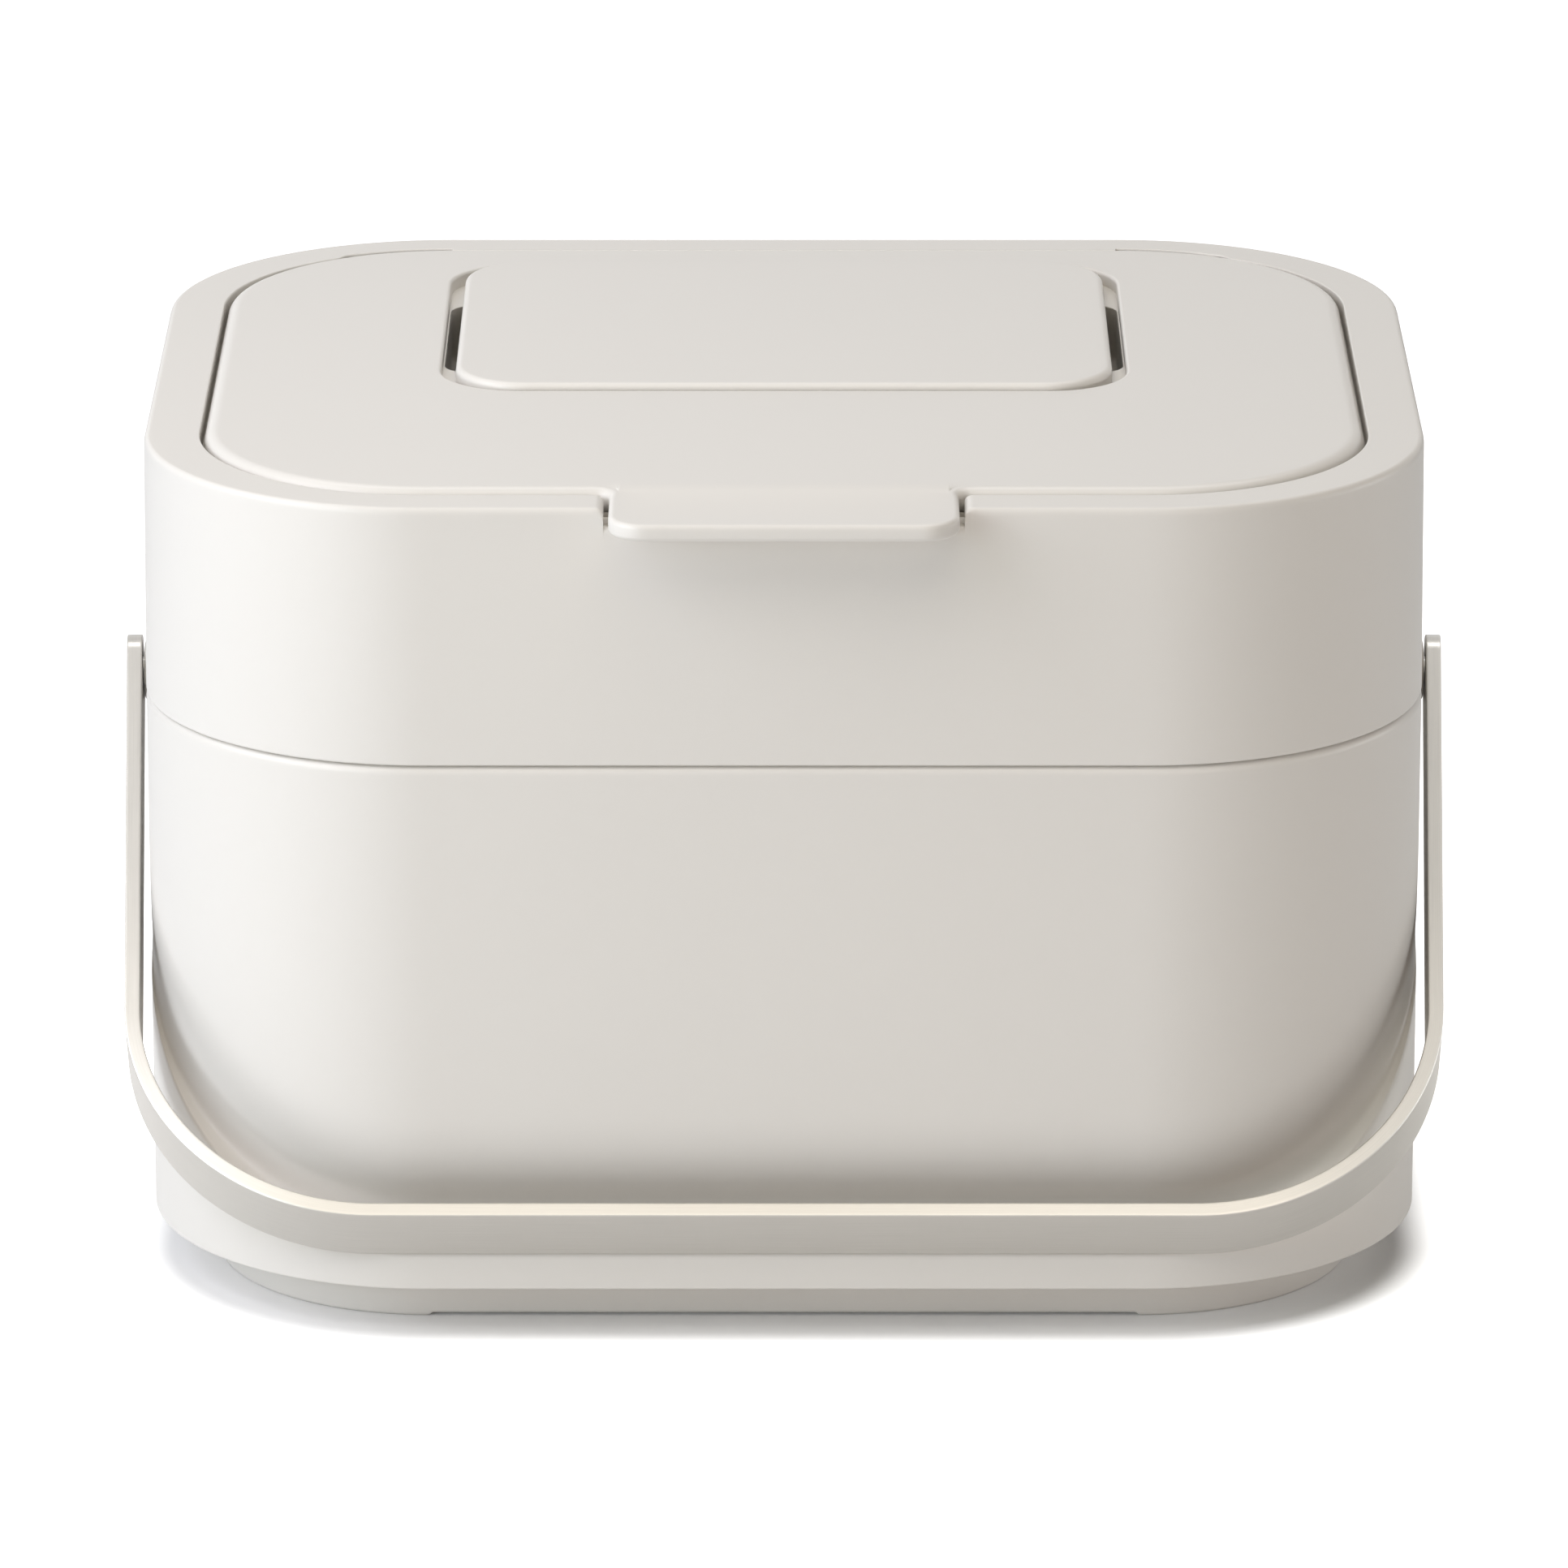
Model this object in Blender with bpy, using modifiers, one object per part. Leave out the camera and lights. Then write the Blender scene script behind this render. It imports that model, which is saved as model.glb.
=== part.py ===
"""Kitchen food waste caddy: a moulded pail with a bent steel bail, a lift-off collar, a hinged
lid with a finger tab, and a carbon filter under a lift-off cover.

Metres, +Z up. The origin is on the floor under the middle of the object's box, and the front,
with the tab, faces -Y.
"""
import math

import bmesh
import bpy
from mathutils import Vector

# Pail
BODY_WIDTH = 0.2802
BODY_DEPTH = 0.2282
BODY_CORNER_RADIUS = 0.0622
PAIL_HEIGHT = 0.1309
PAIL_WALL = 0.0024
PAIL_RIM_CHAMFER = 0.0009
BASE_THICKNESS = 0.0026
BASE_CHAMFER = 0.0025

# Plinth under the pail's outer wall, and the feet on it
PLINTH_HEIGHT = 0.0113
PLINTH_SETBACK = 0.014
PLINTH_CHAMFER = 0.0008
BAND_CHAMFER = 0.0003
FOOT_WIDTH = 0.005
FOOT_HEIGHT = 0.0006
UNDERSIDE_RECESS = 0.0018

# Bail: a strip bent to a U that turns on a rivet at each side
STRIP_WIDTH = 0.0156
STRIP_THICKNESS = 0.0034
STRIP_CHAMFER = 0.0005
BAIL_SIDE_GAP = 0.0047
BAIL_OVERHANG = 0.0009
BAIL_BEND_RADIUS = 0.0555
BAIL_PIVOT_DROP = 0.0132
BAIL_FOLD_ANGLE = math.radians(37.6)
BAIL_LEAN_ANGLE = math.radians(1.7)

# Ledge that the folded bail lies on, scooped into the front of the pail
LEDGE_CLEARANCE = 0.0004
SCOOP_DEPTH = 0.0104
SCOOP_RADIUS = 0.035

# Rivets, spacers and washers of the bail
RIVET_RADIUS = 0.003
RIVET_HEAD_RADIUS = 0.0052
RIVET_HEAD_DEPTH = 0.002
RIVET_HEAD_SINK = 0.0004
RIVET_CLOSED_HEAD_RADIUS = 0.0046
RIVET_CLOSED_HEAD_THICKNESS = 0.0016
SPACER_RADIUS = 0.0068
WASHER_RADIUS = 0.006
WASHER_THICKNESS = 0.001

# Collar
COLLAR_HEIGHT = 0.0571
COLLAR_WALL = 0.0024
COLLAR_TAPER = 0.0005
COLLAR_RIM_RADIUS = 0.0017
COLLAR_FOOT_CHAMFER = 0.0008
COLLAR_OPENING_CHAMFER = 0.0004
COLLAR_SEAM = 0.0004
RIM_SIDE_WIDTH = 0.0127
RIM_END_WIDTH = 0.0111
LID_SEAT_WIDTH = 0.005
LIP_WALL = 0.004
SKIRT_WALL = 0.002
SKIRT_CLEARANCE = 0.0004
SKIRT_DROP = 0.0055
SKIRT_BLEND = 0.006
NOTCH_DEPTH = 0.0042

# Lid
LID_GAP = 0.0012
LID_RISE = 0.0009
LID_EDGE_RADIUS = 0.0031
LID_PANEL = 0.0024

# Finger tab
TAB_WIDTH = 0.0746
TAB_OVERHANG = 0.0146
TAB_THICKNESS = 0.0038
TAB_STEP = 0.0003
TAB_CORNER_RADIUS = 0.008
TAB_ROOT_RADIUS = 0.0025
TAB_EDGE_CHAMFER = 0.0009

# Filter cover, its recess in the lid and the pocket below it
COVER_WIDTH = 0.146
COVER_DEPTH = 0.1073
COVER_SETBACK = 0.0325
COVER_RISE = 0.0012
COVER_SIDE_GAP = 0.0032
COVER_END_GAP = 0.0016
COVER_CORNER_RADIUS = 0.016
COVER_EDGE_CHAMFER = 0.0011
COVER_RIB_SETBACK = 0.021
COVER_RIB_DEPTH = 0.0035
COVER_RIB_WALL = 0.0018
RECESS_DEPTH = 0.003
POCKET_LENGTH = 0.058
POCKET_DEPTH = 0.015
POCKET_WALL = 0.0018
POCKET_CORNER_RADIUS = 0.002

# Filter pad and the vent slots under it
FILTER_END_GAP = 0.0082
FILTER_SIDE_GAP = 0.001
FILTER_THICKNESS = 0.0075
FILTER_CHAMFER = 0.0012
VENT_COUNT = 11
VENT_WIDTH = 0.0035
VENT_LENGTH = 0.044

# Hinge pins of the lid, and the relief that lets its back corners swing
PIN_RADIUS = 0.0008
PIN_RISE = 0.0006
PIN_IN_LID = 0.007
PIN_IN_COLLAR = 0.0035
HINGE_RELIEF = 0.0014

# Gap between two pieces that touch, and how far a cutter runs past what it cuts
FIT = 0.0003
OVERRUN = 0.004
WELD = 0.00001

# How finely curves are cut into facets
CORNER_STEPS = 9
SCOOP_STEPS = 5
EDGE_STEPS = 3
BEND_STEPS = 20
TURN_STEPS = 24
SHARP_ANGLE = math.radians(50.0)

STONE = (0.76, 0.74, 0.70, 1.0)
STEEL = (0.62, 0.60, 0.56, 1.0)
CHARCOAL = (0.03, 0.03, 0.032, 1.0)

# Places that several pieces share
body_y = TAB_OVERHANG / 2
lid_width = BODY_WIDTH - 2 * (RIM_SIDE_WIDTH + LID_GAP)
lid_depth = BODY_DEPTH - 2 * (RIM_END_WIDTH + LID_GAP)
rim_z = PAIL_HEIGHT + COLLAR_HEIGHT
lid_top_z = rim_z + LID_RISE
hinge_y = body_y + lid_depth / 2 - LID_EDGE_RADIUS
hinge_z = lid_top_z - LID_EDGE_RADIUS + PIN_RISE
pivot_z = PAIL_HEIGHT - BAIL_PIVOT_DROP
cover_y = body_y + COVER_SETBACK
recess_floor_z = lid_top_z - RECESS_DEPTH
pocket_floor_z = lid_top_z - POCKET_DEPTH
lid_seat_z = lid_top_z - 2 * LID_EDGE_RADIUS - FIT
recess_width = COVER_WIDTH + 2 * COVER_SIDE_GAP
recess_depth = COVER_DEPTH + 2 * COVER_END_GAP
rib_width = COVER_WIDTH - 2 * COVER_RIB_SETBACK
filter_width = recess_width - 2 * FILTER_END_GAP
arm_face_x = BODY_WIDTH / 2 + BAIL_SIDE_GAP + STRIP_THICKNESS
bail_drop_y = STRIP_WIDTH / 2 * math.sin(BAIL_FOLD_ANGLE)
bail_reach = (BODY_DEPTH / 2 + BAIL_OVERHANG + bail_drop_y) / math.cos(BAIL_FOLD_ANGLE)


def clear_scene():
    """Remove what the start-up scene holds."""
    for item in list(bpy.data.objects):
        bpy.data.objects.remove(item, do_unlink=True)


def new_collection(name):
    """Add a collection to the scene."""
    collection = bpy.data.collections.new(name)
    bpy.context.scene.collection.children.link(collection)
    return collection


clear_scene()
parts = new_collection("food_waste_caddy")
cutters = new_collection("cutters")


def finish(name, colour, roughness, metallic=0.0):
    """A plain material for one piece."""
    material = bpy.data.materials.new(name)
    material.use_nodes = True
    shader = material.node_tree.nodes["Principled BSDF"]
    shader.inputs["Base Color"].default_value = colour
    shader.inputs["Roughness"].default_value = roughness
    shader.inputs["Metallic"].default_value = metallic
    return material


def add_object(name, mesh, collection):
    """Put a mesh in the scene, as a piece or as a hidden cutter."""
    item = bpy.data.objects.new(name, mesh)
    collection.objects.link(item)
    if collection is cutters:
        item.hide_render = True
        item.display_type = "WIRE"
    return item


def rounded_rectangle(half_x, half_y, radius):
    """Outline of a rectangle with round corners, anticlockwise from above, about the origin."""
    outline = []
    for quarter, (side_x, side_y) in enumerate(((1, 1), (-1, 1), (-1, -1), (1, -1))):
        for step in range(CORNER_STEPS + 1):
            angle = math.pi / 2 * (quarter + step / CORNER_STEPS)
            x = side_x * (half_x - radius) + radius * math.cos(angle)
            y = side_y * (half_y - radius) + radius * math.sin(angle)
            outline.append((x, y))
    return outline


def body_outline(inset_x, inset_y):
    """The body's outline, moved in at the sides by one inset and at the ends by the other."""
    radius = BODY_CORNER_RADIUS - (inset_x + inset_y) / 2
    return rounded_rectangle(BODY_WIDTH / 2 - inset_x, BODY_DEPTH / 2 - inset_y, radius)


def body_section(inset_x, inset_y, z):
    """A level section of the body's outline at height z."""
    return [Vector((x, y + body_y, z)) for x, y in body_outline(inset_x, inset_y)]


def loft(name, sections, collection, ring=False):
    """Skin a run of sections with equal numbers of points; a ring joins its last to its first."""
    mesh = bmesh.new()
    loops = [[mesh.verts.new(point) for point in section] for section in sections]
    pairs = list(zip(loops, loops[1:]))
    if ring:
        pairs.append((loops[-1], loops[0]))
    else:
        mesh.faces.new(loops[0])
        mesh.faces.new(loops[-1])
    for lower, upper in pairs:
        for index in range(len(lower)):
            after = (index + 1) % len(lower)
            mesh.faces.new((lower[index], lower[after], upper[after], upper[index]))
    bmesh.ops.recalc_face_normals(mesh, faces=mesh.faces)
    data = bpy.data.meshes.new(name)
    mesh.to_mesh(data)
    mesh.free()
    return add_object(name, data, collection)


def plate(name, outline, thickness, collection):
    """A flat outline given a thickness about its plane, as a mesh."""
    curve = bpy.data.curves.new(name, "CURVE")
    curve.dimensions = "2D"
    curve.fill_mode = "BOTH"
    curve.extrude = thickness / 2
    spline = curve.splines.new("POLY")
    spline.points.add(len(outline) - 1)
    for point, (x, y) in zip(spline.points, outline):
        point.co = (x, y, 0.0, 1.0)
    spline.use_cyclic_u = True
    carrier = bpy.data.objects.new(name, curve)
    bpy.context.scene.collection.objects.link(carrier)
    bpy.context.view_layer.update()
    evaluated = carrier.evaluated_get(bpy.context.evaluated_depsgraph_get())
    data = bpy.data.meshes.new_from_object(evaluated)
    bpy.data.objects.remove(carrier, do_unlink=True)
    bpy.data.curves.remove(curve)
    data.name = name
    mesh = bmesh.new()
    mesh.from_mesh(data)
    bmesh.ops.remove_doubles(mesh, verts=mesh.verts, dist=WELD)
    bmesh.ops.recalc_face_normals(mesh, faces=mesh.faces)
    mesh.to_mesh(data)
    mesh.free()
    return add_object(name, data, collection)


def upright_plate(name, outline, low_z, high_z, centre_y, collection):
    """A level plate between two heights, centred on X."""
    item = plate(name, outline, high_z - low_z, collection)
    item.location = (0.0, centre_y, (low_z + high_z) / 2)
    return item


def block(name, low, high, collection):
    """A box between two corners."""
    mesh = bmesh.new()
    bmesh.ops.create_cube(mesh, size=1.0)
    for vertex in mesh.verts:
        for axis in range(3):
            vertex.co[axis] = high[axis] if vertex.co[axis] > 0 else low[axis]
    data = bpy.data.meshes.new(name)
    mesh.to_mesh(data)
    mesh.free()
    return add_object(name, data, collection)


def rod(name, radius, start_x, end_x, y, z, collection):
    """A cylinder along X."""
    mesh = bmesh.new()
    length = abs(end_x - start_x)
    bmesh.ops.create_cone(
        mesh, cap_ends=True, segments=TURN_STEPS, radius1=radius, radius2=radius, depth=length
    )
    data = bpy.data.meshes.new(name)
    mesh.to_mesh(data)
    mesh.free()
    item = add_object(name, data, collection)
    item.rotation_euler = (0.0, math.pi / 2, 0.0)
    item.location = ((start_x + end_x) / 2, y, z)
    return item


def turned(name, profile, side, collection):
    """A piece turned about the bail's pivot: profile points are (distance from the middle, radius).

    The profile runs from the outer end to the inner one, on the side that side names (-1 or 1).
    """
    mesh = bmesh.new()
    corners = [mesh.verts.new((radius, 0.0, out)) for out, radius in profile]
    for first, second in zip(corners, corners[1:]):
        mesh.edges.new((first, second))
    if profile[0][1] > 0:
        mesh.edges.new((corners[-1], corners[0]))
    data = bpy.data.meshes.new(name)
    mesh.to_mesh(data)
    mesh.free()
    item = add_object(name, data, collection)
    screw = item.modifiers.new("turn", "SCREW")
    screw.steps = TURN_STEPS
    screw.render_steps = TURN_STEPS
    screw.use_merge_vertices = True
    screw.merge_threshold = WELD
    item.rotation_euler = (0.0, side * math.pi / 2, 0.0)
    item.location = (0.0, body_y, pivot_z)
    return item


def combine(item, tool, operation):
    """Cut, join or trim a piece with a tool."""
    modifier = item.modifiers.new(tool.name, "BOOLEAN")
    modifier.operation = operation
    modifier.object = tool


def chamfer_edges(item, width, chosen):
    """Chamfer the sharp edges whose ends all satisfy a test, in the object's own frame."""
    mesh = bmesh.new()
    mesh.from_mesh(item.data)
    edges = []
    for edge in mesh.edges:
        if len(edge.link_faces) == 2 and edge.calc_face_angle() > SHARP_ANGLE:
            if all(chosen(vertex.co) for vertex in edge.verts):
                edges.append(edge)
    bmesh.ops.bevel(
        mesh, geom=edges, offset=width, segments=EDGE_STEPS, profile=0.5, affect="EDGES"
    )
    mesh.to_mesh(item.data)
    mesh.free()


def hang_on(pivot_name, location, items):
    """Parent pieces to an empty that sits on the axis they turn about, without moving them."""
    empty = bpy.data.objects.new(pivot_name, None)
    empty.location = location
    parts.objects.link(empty)
    bpy.context.view_layer.update()
    for item in items:
        item.parent = empty
        item.matrix_parent_inverse = empty.matrix_world.inverted()


def ledge_z(y):
    """Height of the ledge's plane at y: the plane of the folded bail's lower edge."""
    drop = STRIP_WIDTH / 2 + LEDGE_CLEARANCE
    return pivot_z + math.tan(BAIL_FOLD_ANGLE) * (y - body_y) - drop / math.cos(BAIL_FOLD_ANGLE)


def scooped_section(inset, lean_in, rise):
    """A section of the pail whose front half has moved in by lean_in, rise above the ledge.

    Every point of the front corners and front wall moves back along +Y, so the side walls stay
    plane. Its height follows the ledge's slope; behind the corners it stays level.
    """
    corner_y = body_y - BODY_DEPTH / 2 + BODY_CORNER_RADIUS
    section = []
    for x, y in body_outline(inset, inset):
        front = y < 0
        place = y + body_y + (lean_in if front else 0.0)
        foot_y = min(place, corner_y + lean_in) if front else corner_y + lean_in
        section.append(Vector((x, place, ledge_z(foot_y) + rise)))
    return section


def floor_section(inset, z):
    """A level section at the foot of the inner wall, which keeps the scoop's full depth."""
    section = []
    for x, y in body_outline(inset, inset):
        place = y + body_y + (SCOOP_DEPTH if y < 0 else 0.0)
        section.append(Vector((x, place, z)))
    return section


def make_pail():
    """The pail: one loft from the recess under its base, up the outside and down the inside."""
    overhang = math.acos(1 - SCOOP_DEPTH / SCOOP_RADIUS)
    outer = []
    inner = []
    for step in range(SCOOP_STEPS + 1):
        angle = overhang * (1 - step / SCOOP_STEPS)
        lean_in = SCOOP_RADIUS * (1 - math.cos(angle))
        rise = SCOOP_RADIUS * (math.sin(overhang) - math.sin(angle))
        valley = ledge_z(body_y + SCOOP_DEPTH) - ledge_z(body_y + lean_in)
        outer.append(scooped_section(0.0, lean_in, rise + valley))
        inner.append(scooped_section(PAIL_WALL, lean_in, rise + valley))
    step_z = PLINTH_HEIGHT + BASE_THICKNESS
    base_z = FOOT_HEIGHT + UNDERSIDE_RECESS + BASE_THICKNESS
    ring_inset = PLINTH_SETBACK + FOOT_WIDTH
    well_inset = PLINTH_SETBACK + PAIL_WALL
    sections = [
        body_section(ring_inset, ring_inset, FOOT_HEIGHT + UNDERSIDE_RECESS),
        body_section(ring_inset, ring_inset, 0.0),
        body_section(PLINTH_SETBACK + PLINTH_CHAMFER, PLINTH_SETBACK + PLINTH_CHAMFER, 0.0),
        body_section(PLINTH_SETBACK, PLINTH_SETBACK, PLINTH_CHAMFER),
        body_section(PLINTH_SETBACK, PLINTH_SETBACK, PLINTH_HEIGHT),
        body_section(BAND_CHAMFER, BAND_CHAMFER, PLINTH_HEIGHT),
        body_section(0.0, 0.0, PLINTH_HEIGHT + BAND_CHAMFER),
        scooped_section(0.0, 0.0, 0.0),
    ]
    sections += outer
    sections += [
        body_section(0.0, 0.0, PAIL_HEIGHT - PAIL_RIM_CHAMFER),
        body_section(PAIL_RIM_CHAMFER, PAIL_RIM_CHAMFER, PAIL_HEIGHT),
        body_section(PAIL_WALL, PAIL_WALL, PAIL_HEIGHT),
    ]
    sections += reversed(inner)
    sections += [
        floor_section(PAIL_WALL, step_z + BASE_CHAMFER),
        floor_section(PAIL_WALL + BASE_CHAMFER, step_z),
        body_section(well_inset, well_inset, step_z),
        body_section(well_inset, well_inset, base_z + BASE_CHAMFER),
        body_section(well_inset + BASE_CHAMFER, well_inset + BASE_CHAMFER, base_z),
    ]
    pail = loft("pail", sections, parts)
    cut_feet(pail)
    for side in (-1, 1):
        hole = rod(
            f"rivet_hole_{side}", RIVET_RADIUS + FIT, side * (BODY_WIDTH / 2 - OVERRUN),
            side * (BODY_WIDTH / 2 + OVERRUN), body_y, pivot_z, cutters,
        )
        combine(pail, hole, "DIFFERENCE")
    pail.data.materials.append(finish("pail", STONE, 0.45))
    return pail


def cut_feet(pail):
    """Raise the plinth's edge between the corners, so that it stands on four corner feet."""
    straight_x = BODY_WIDTH / 2 - BODY_CORNER_RADIUS
    straight_y = BODY_DEPTH / 2 - BODY_CORNER_RADIUS
    reach_x = BODY_WIDTH / 2
    reach_y = BODY_DEPTH / 2
    between = block(
        "feet_gap_ends", (-straight_x, body_y - reach_y, -OVERRUN),
        (straight_x, body_y + reach_y, FOOT_HEIGHT), cutters,
    )
    across = block(
        "feet_gap_sides", (-reach_x, body_y - straight_y, -OVERRUN),
        (reach_x, body_y + straight_y, FOOT_HEIGHT), cutters,
    )
    combine(pail, between, "DIFFERENCE")
    combine(pail, across, "DIFFERENCE")


def make_collar():
    """The collar: its wall's section carried round the body, with the tab's notch cut in it."""
    foot_z = PAIL_HEIGHT + COLLAR_SEAM
    skirt_out = PAIL_WALL + SKIRT_CLEARANCE
    skirt_in = skirt_out + SKIRT_WALL
    skirt_z = PAIL_HEIGHT - SKIRT_DROP
    wall_in = COLLAR_TAPER + COLLAR_WALL
    under_rim_z = rim_z - COLLAR_WALL
    sections = [
        body_section(COLLAR_FOOT_CHAMFER, COLLAR_FOOT_CHAMFER, foot_z),
        body_section(0.0, 0.0, foot_z + COLLAR_FOOT_CHAMFER),
    ]
    for step in range(EDGE_STEPS + 1):
        angle = math.pi / 2 * step / EDGE_STEPS
        inset = COLLAR_TAPER + COLLAR_RIM_RADIUS * (1 - math.cos(angle))
        height = rim_z - COLLAR_RIM_RADIUS * (1 - math.sin(angle))
        sections.append(body_section(inset, inset, height))
    seat_x = RIM_SIDE_WIDTH + LID_SEAT_WIDTH
    seat_y = RIM_END_WIDTH + LID_SEAT_WIDTH
    lip_x = RIM_SIDE_WIDTH - LIP_WALL
    lip_y = RIM_END_WIDTH - LIP_WALL
    edge = COLLAR_OPENING_CHAMFER
    sections += [
        body_section(RIM_SIDE_WIDTH - edge, RIM_END_WIDTH - edge, rim_z),
        body_section(RIM_SIDE_WIDTH, RIM_END_WIDTH, rim_z - edge),
        body_section(RIM_SIDE_WIDTH, RIM_END_WIDTH, lid_seat_z),
        body_section(seat_x, seat_y, lid_seat_z),
        body_section(seat_x, seat_y, lid_seat_z - COLLAR_WALL),
        body_section(lip_x, lip_y, lid_seat_z - COLLAR_WALL),
        body_section(lip_x, lip_y, under_rim_z),
        body_section(wall_in, wall_in, under_rim_z),
        body_section(wall_in, wall_in, foot_z + 2 * SKIRT_BLEND),
        body_section(skirt_in, skirt_in, foot_z + SKIRT_BLEND),
        body_section(skirt_in, skirt_in, skirt_z),
        body_section(skirt_out, skirt_out, skirt_z),
        body_section(skirt_out, skirt_out, foot_z),
    ]
    collar = loft("collar", sections, parts, ring=True)

    notch_half = TAB_WIDTH / 2 + LID_GAP
    front_y = body_y - BODY_DEPTH / 2
    notch_z = rim_z - NOTCH_DEPTH
    floor_back_y = front_y + RIM_END_WIDTH - COLLAR_WALL / 2
    notch_floor = block(
        "notch_floor",
        (-notch_half - COLLAR_WALL, front_y + wall_in - COLLAR_WALL / 2, notch_z - COLLAR_WALL),
        (notch_half + COLLAR_WALL, floor_back_y, rim_z - COLLAR_WALL / 2), cutters,
    )
    notch = block(
        "tab_notch", (-notch_half, front_y - OVERRUN, notch_z),
        (notch_half, front_y + RIM_END_WIDTH + LID_GAP, rim_z + OVERRUN), cutters,
    )
    combine(collar, notch_floor, "UNION")
    combine(collar, notch, "DIFFERENCE")
    for side in (-1, 1):
        corner = [(side * x, y) for x, y in relief_outline()]
        relief = upright_plate(
            f"hinge_relief_{side}", corner, lid_seat_z + FIT, rim_z + OVERRUN, body_y, cutters,
        )
        combine(collar, relief, "DIFFERENCE")
        socket = rod(
            f"pin_socket_{side}", PIN_RADIUS + FIT, side * (pin_mouth_x() - OVERRUN),
            side * (pin_mouth_x() + PIN_IN_COLLAR + FIT), hinge_y, hinge_z, cutters,
        )
        combine(collar, socket, "DIFFERENCE")
    collar.data.materials.append(finish("collar", STONE, 0.45))
    return collar


def corner_reach(inset_x, inset_y):
    """How far out in X the body's inset outline is, level with the hinge axis."""
    radius = BODY_CORNER_RADIUS - (inset_x + inset_y) / 2
    centre_x = BODY_WIDTH / 2 - inset_x - radius
    centre_y = BODY_DEPTH / 2 - inset_y - radius
    offset_y = hinge_y - body_y - centre_y
    return centre_x + math.sqrt(radius ** 2 - offset_y ** 2)


def pin_mouth_x():
    """Where the hinge axis meets the relieved wall of the lid's opening."""
    return corner_reach(RIM_SIDE_WIDTH - HINGE_RELIEF, RIM_END_WIDTH - HINGE_RELIEF)


def relief_outline():
    """Outline over the opening's right back corner, wider than the opening by the relief."""
    quarter = body_outline(RIM_SIDE_WIDTH - HINGE_RELIEF, RIM_END_WIDTH - HINGE_RELIEF)
    corner = quarter[CORNER_STEPS - CORNER_STEPS // 3:CORNER_STEPS + 1]
    start_x, start_y = corner[0]
    end_x, end_y = corner[-1]
    inside_y = start_y - 2 * HINGE_RELIEF
    return corner + [(end_x - FIT, end_y), (end_x - FIT, inside_y), (start_x, inside_y)]


def make_lid():
    """The lid: a bullnosed plate with a finger tab, the cover's recess and the filter's pocket."""
    inset_x = RIM_SIDE_WIDTH + LID_GAP
    inset_y = RIM_END_WIDTH + LID_GAP
    edge_width = 2 * LID_EDGE_RADIUS
    panel_z = lid_top_z - LID_PANEL
    edge_z = lid_top_z - LID_EDGE_RADIUS
    sections = [
        body_section(inset_x + edge_width, inset_y + edge_width, panel_z),
        body_section(inset_x + edge_width, inset_y + edge_width, lid_top_z - edge_width),
    ]
    for step in range(2 * EDGE_STEPS + 1):
        angle = math.pi / 2 * (step / EDGE_STEPS - 1)
        inward = LID_EDGE_RADIUS * (1 - math.cos(angle))
        height = edge_z + LID_EDGE_RADIUS * math.sin(angle)
        sections.append(body_section(inset_x + inward, inset_y + inward, height))
    lid = loft("lid", sections, parts)

    pan = upright_plate(
        "recess_pan", cover_outline(recess_width / 2 + POCKET_WALL, recess_depth / 2 + POCKET_WALL),
        recess_floor_z - POCKET_WALL, panel_z + LID_PANEL / 2, cover_y, cutters,
    )
    well = upright_plate(
        "pocket_walls", pocket_outline(POCKET_WALL),
        pocket_floor_z - POCKET_WALL, recess_floor_z - POCKET_WALL / 2, cover_y, cutters,
    )
    recess = upright_plate(
        "recess", cover_outline(recess_width / 2, recess_depth / 2),
        recess_floor_z, lid_top_z + OVERRUN, cover_y, cutters,
    )
    pocket = upright_plate(
        "pocket", pocket_outline(0.0), pocket_floor_z, recess_floor_z + RECESS_DEPTH / 2,
        cover_y, cutters,
    )
    tab = make_tab()
    for added in (tab, pan, well):
        combine(lid, added, "UNION")
    for cut in (recess, pocket):
        combine(lid, cut, "DIFFERENCE")
    pitch = filter_width / VENT_COUNT
    for index in range(VENT_COUNT):
        x = (index - (VENT_COUNT - 1) / 2) * pitch
        vent = block(
            f"vent_{index}", (x - VENT_WIDTH / 2, cover_y - VENT_LENGTH / 2, pocket_floor_z - OVERRUN),
            (x + VENT_WIDTH / 2, cover_y + VENT_LENGTH / 2, pocket_floor_z + POCKET_WALL), cutters,
        )
        combine(lid, vent, "DIFFERENCE")
    pin_end = corner_reach(inset_x, inset_y)
    for side in (-1, 1):
        bore = rod(
            f"pin_bore_{side}", PIN_RADIUS + FIT, side * (pin_end - PIN_IN_LID - FIT),
            side * (pin_end + OVERRUN), hinge_y, hinge_z, cutters,
        )
        combine(lid, bore, "DIFFERENCE")
    lid.data.materials.append(finish("lid", STONE, 0.42))
    return lid


def cover_outline(half_x, half_y):
    """Outline round the cover's middle, with corners that stay concentric with the cover's."""
    radius = COVER_CORNER_RADIUS + half_y - COVER_DEPTH / 2
    return rounded_rectangle(half_x, half_y, radius)


def pocket_outline(grow):
    """Outline of the filter's pocket, just inside the recess's sides, grown outwards."""
    half_x = recess_width / 2 - FIT
    return rounded_rectangle(half_x + grow, POCKET_LENGTH / 2 + grow, POCKET_CORNER_RADIUS + grow)


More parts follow.
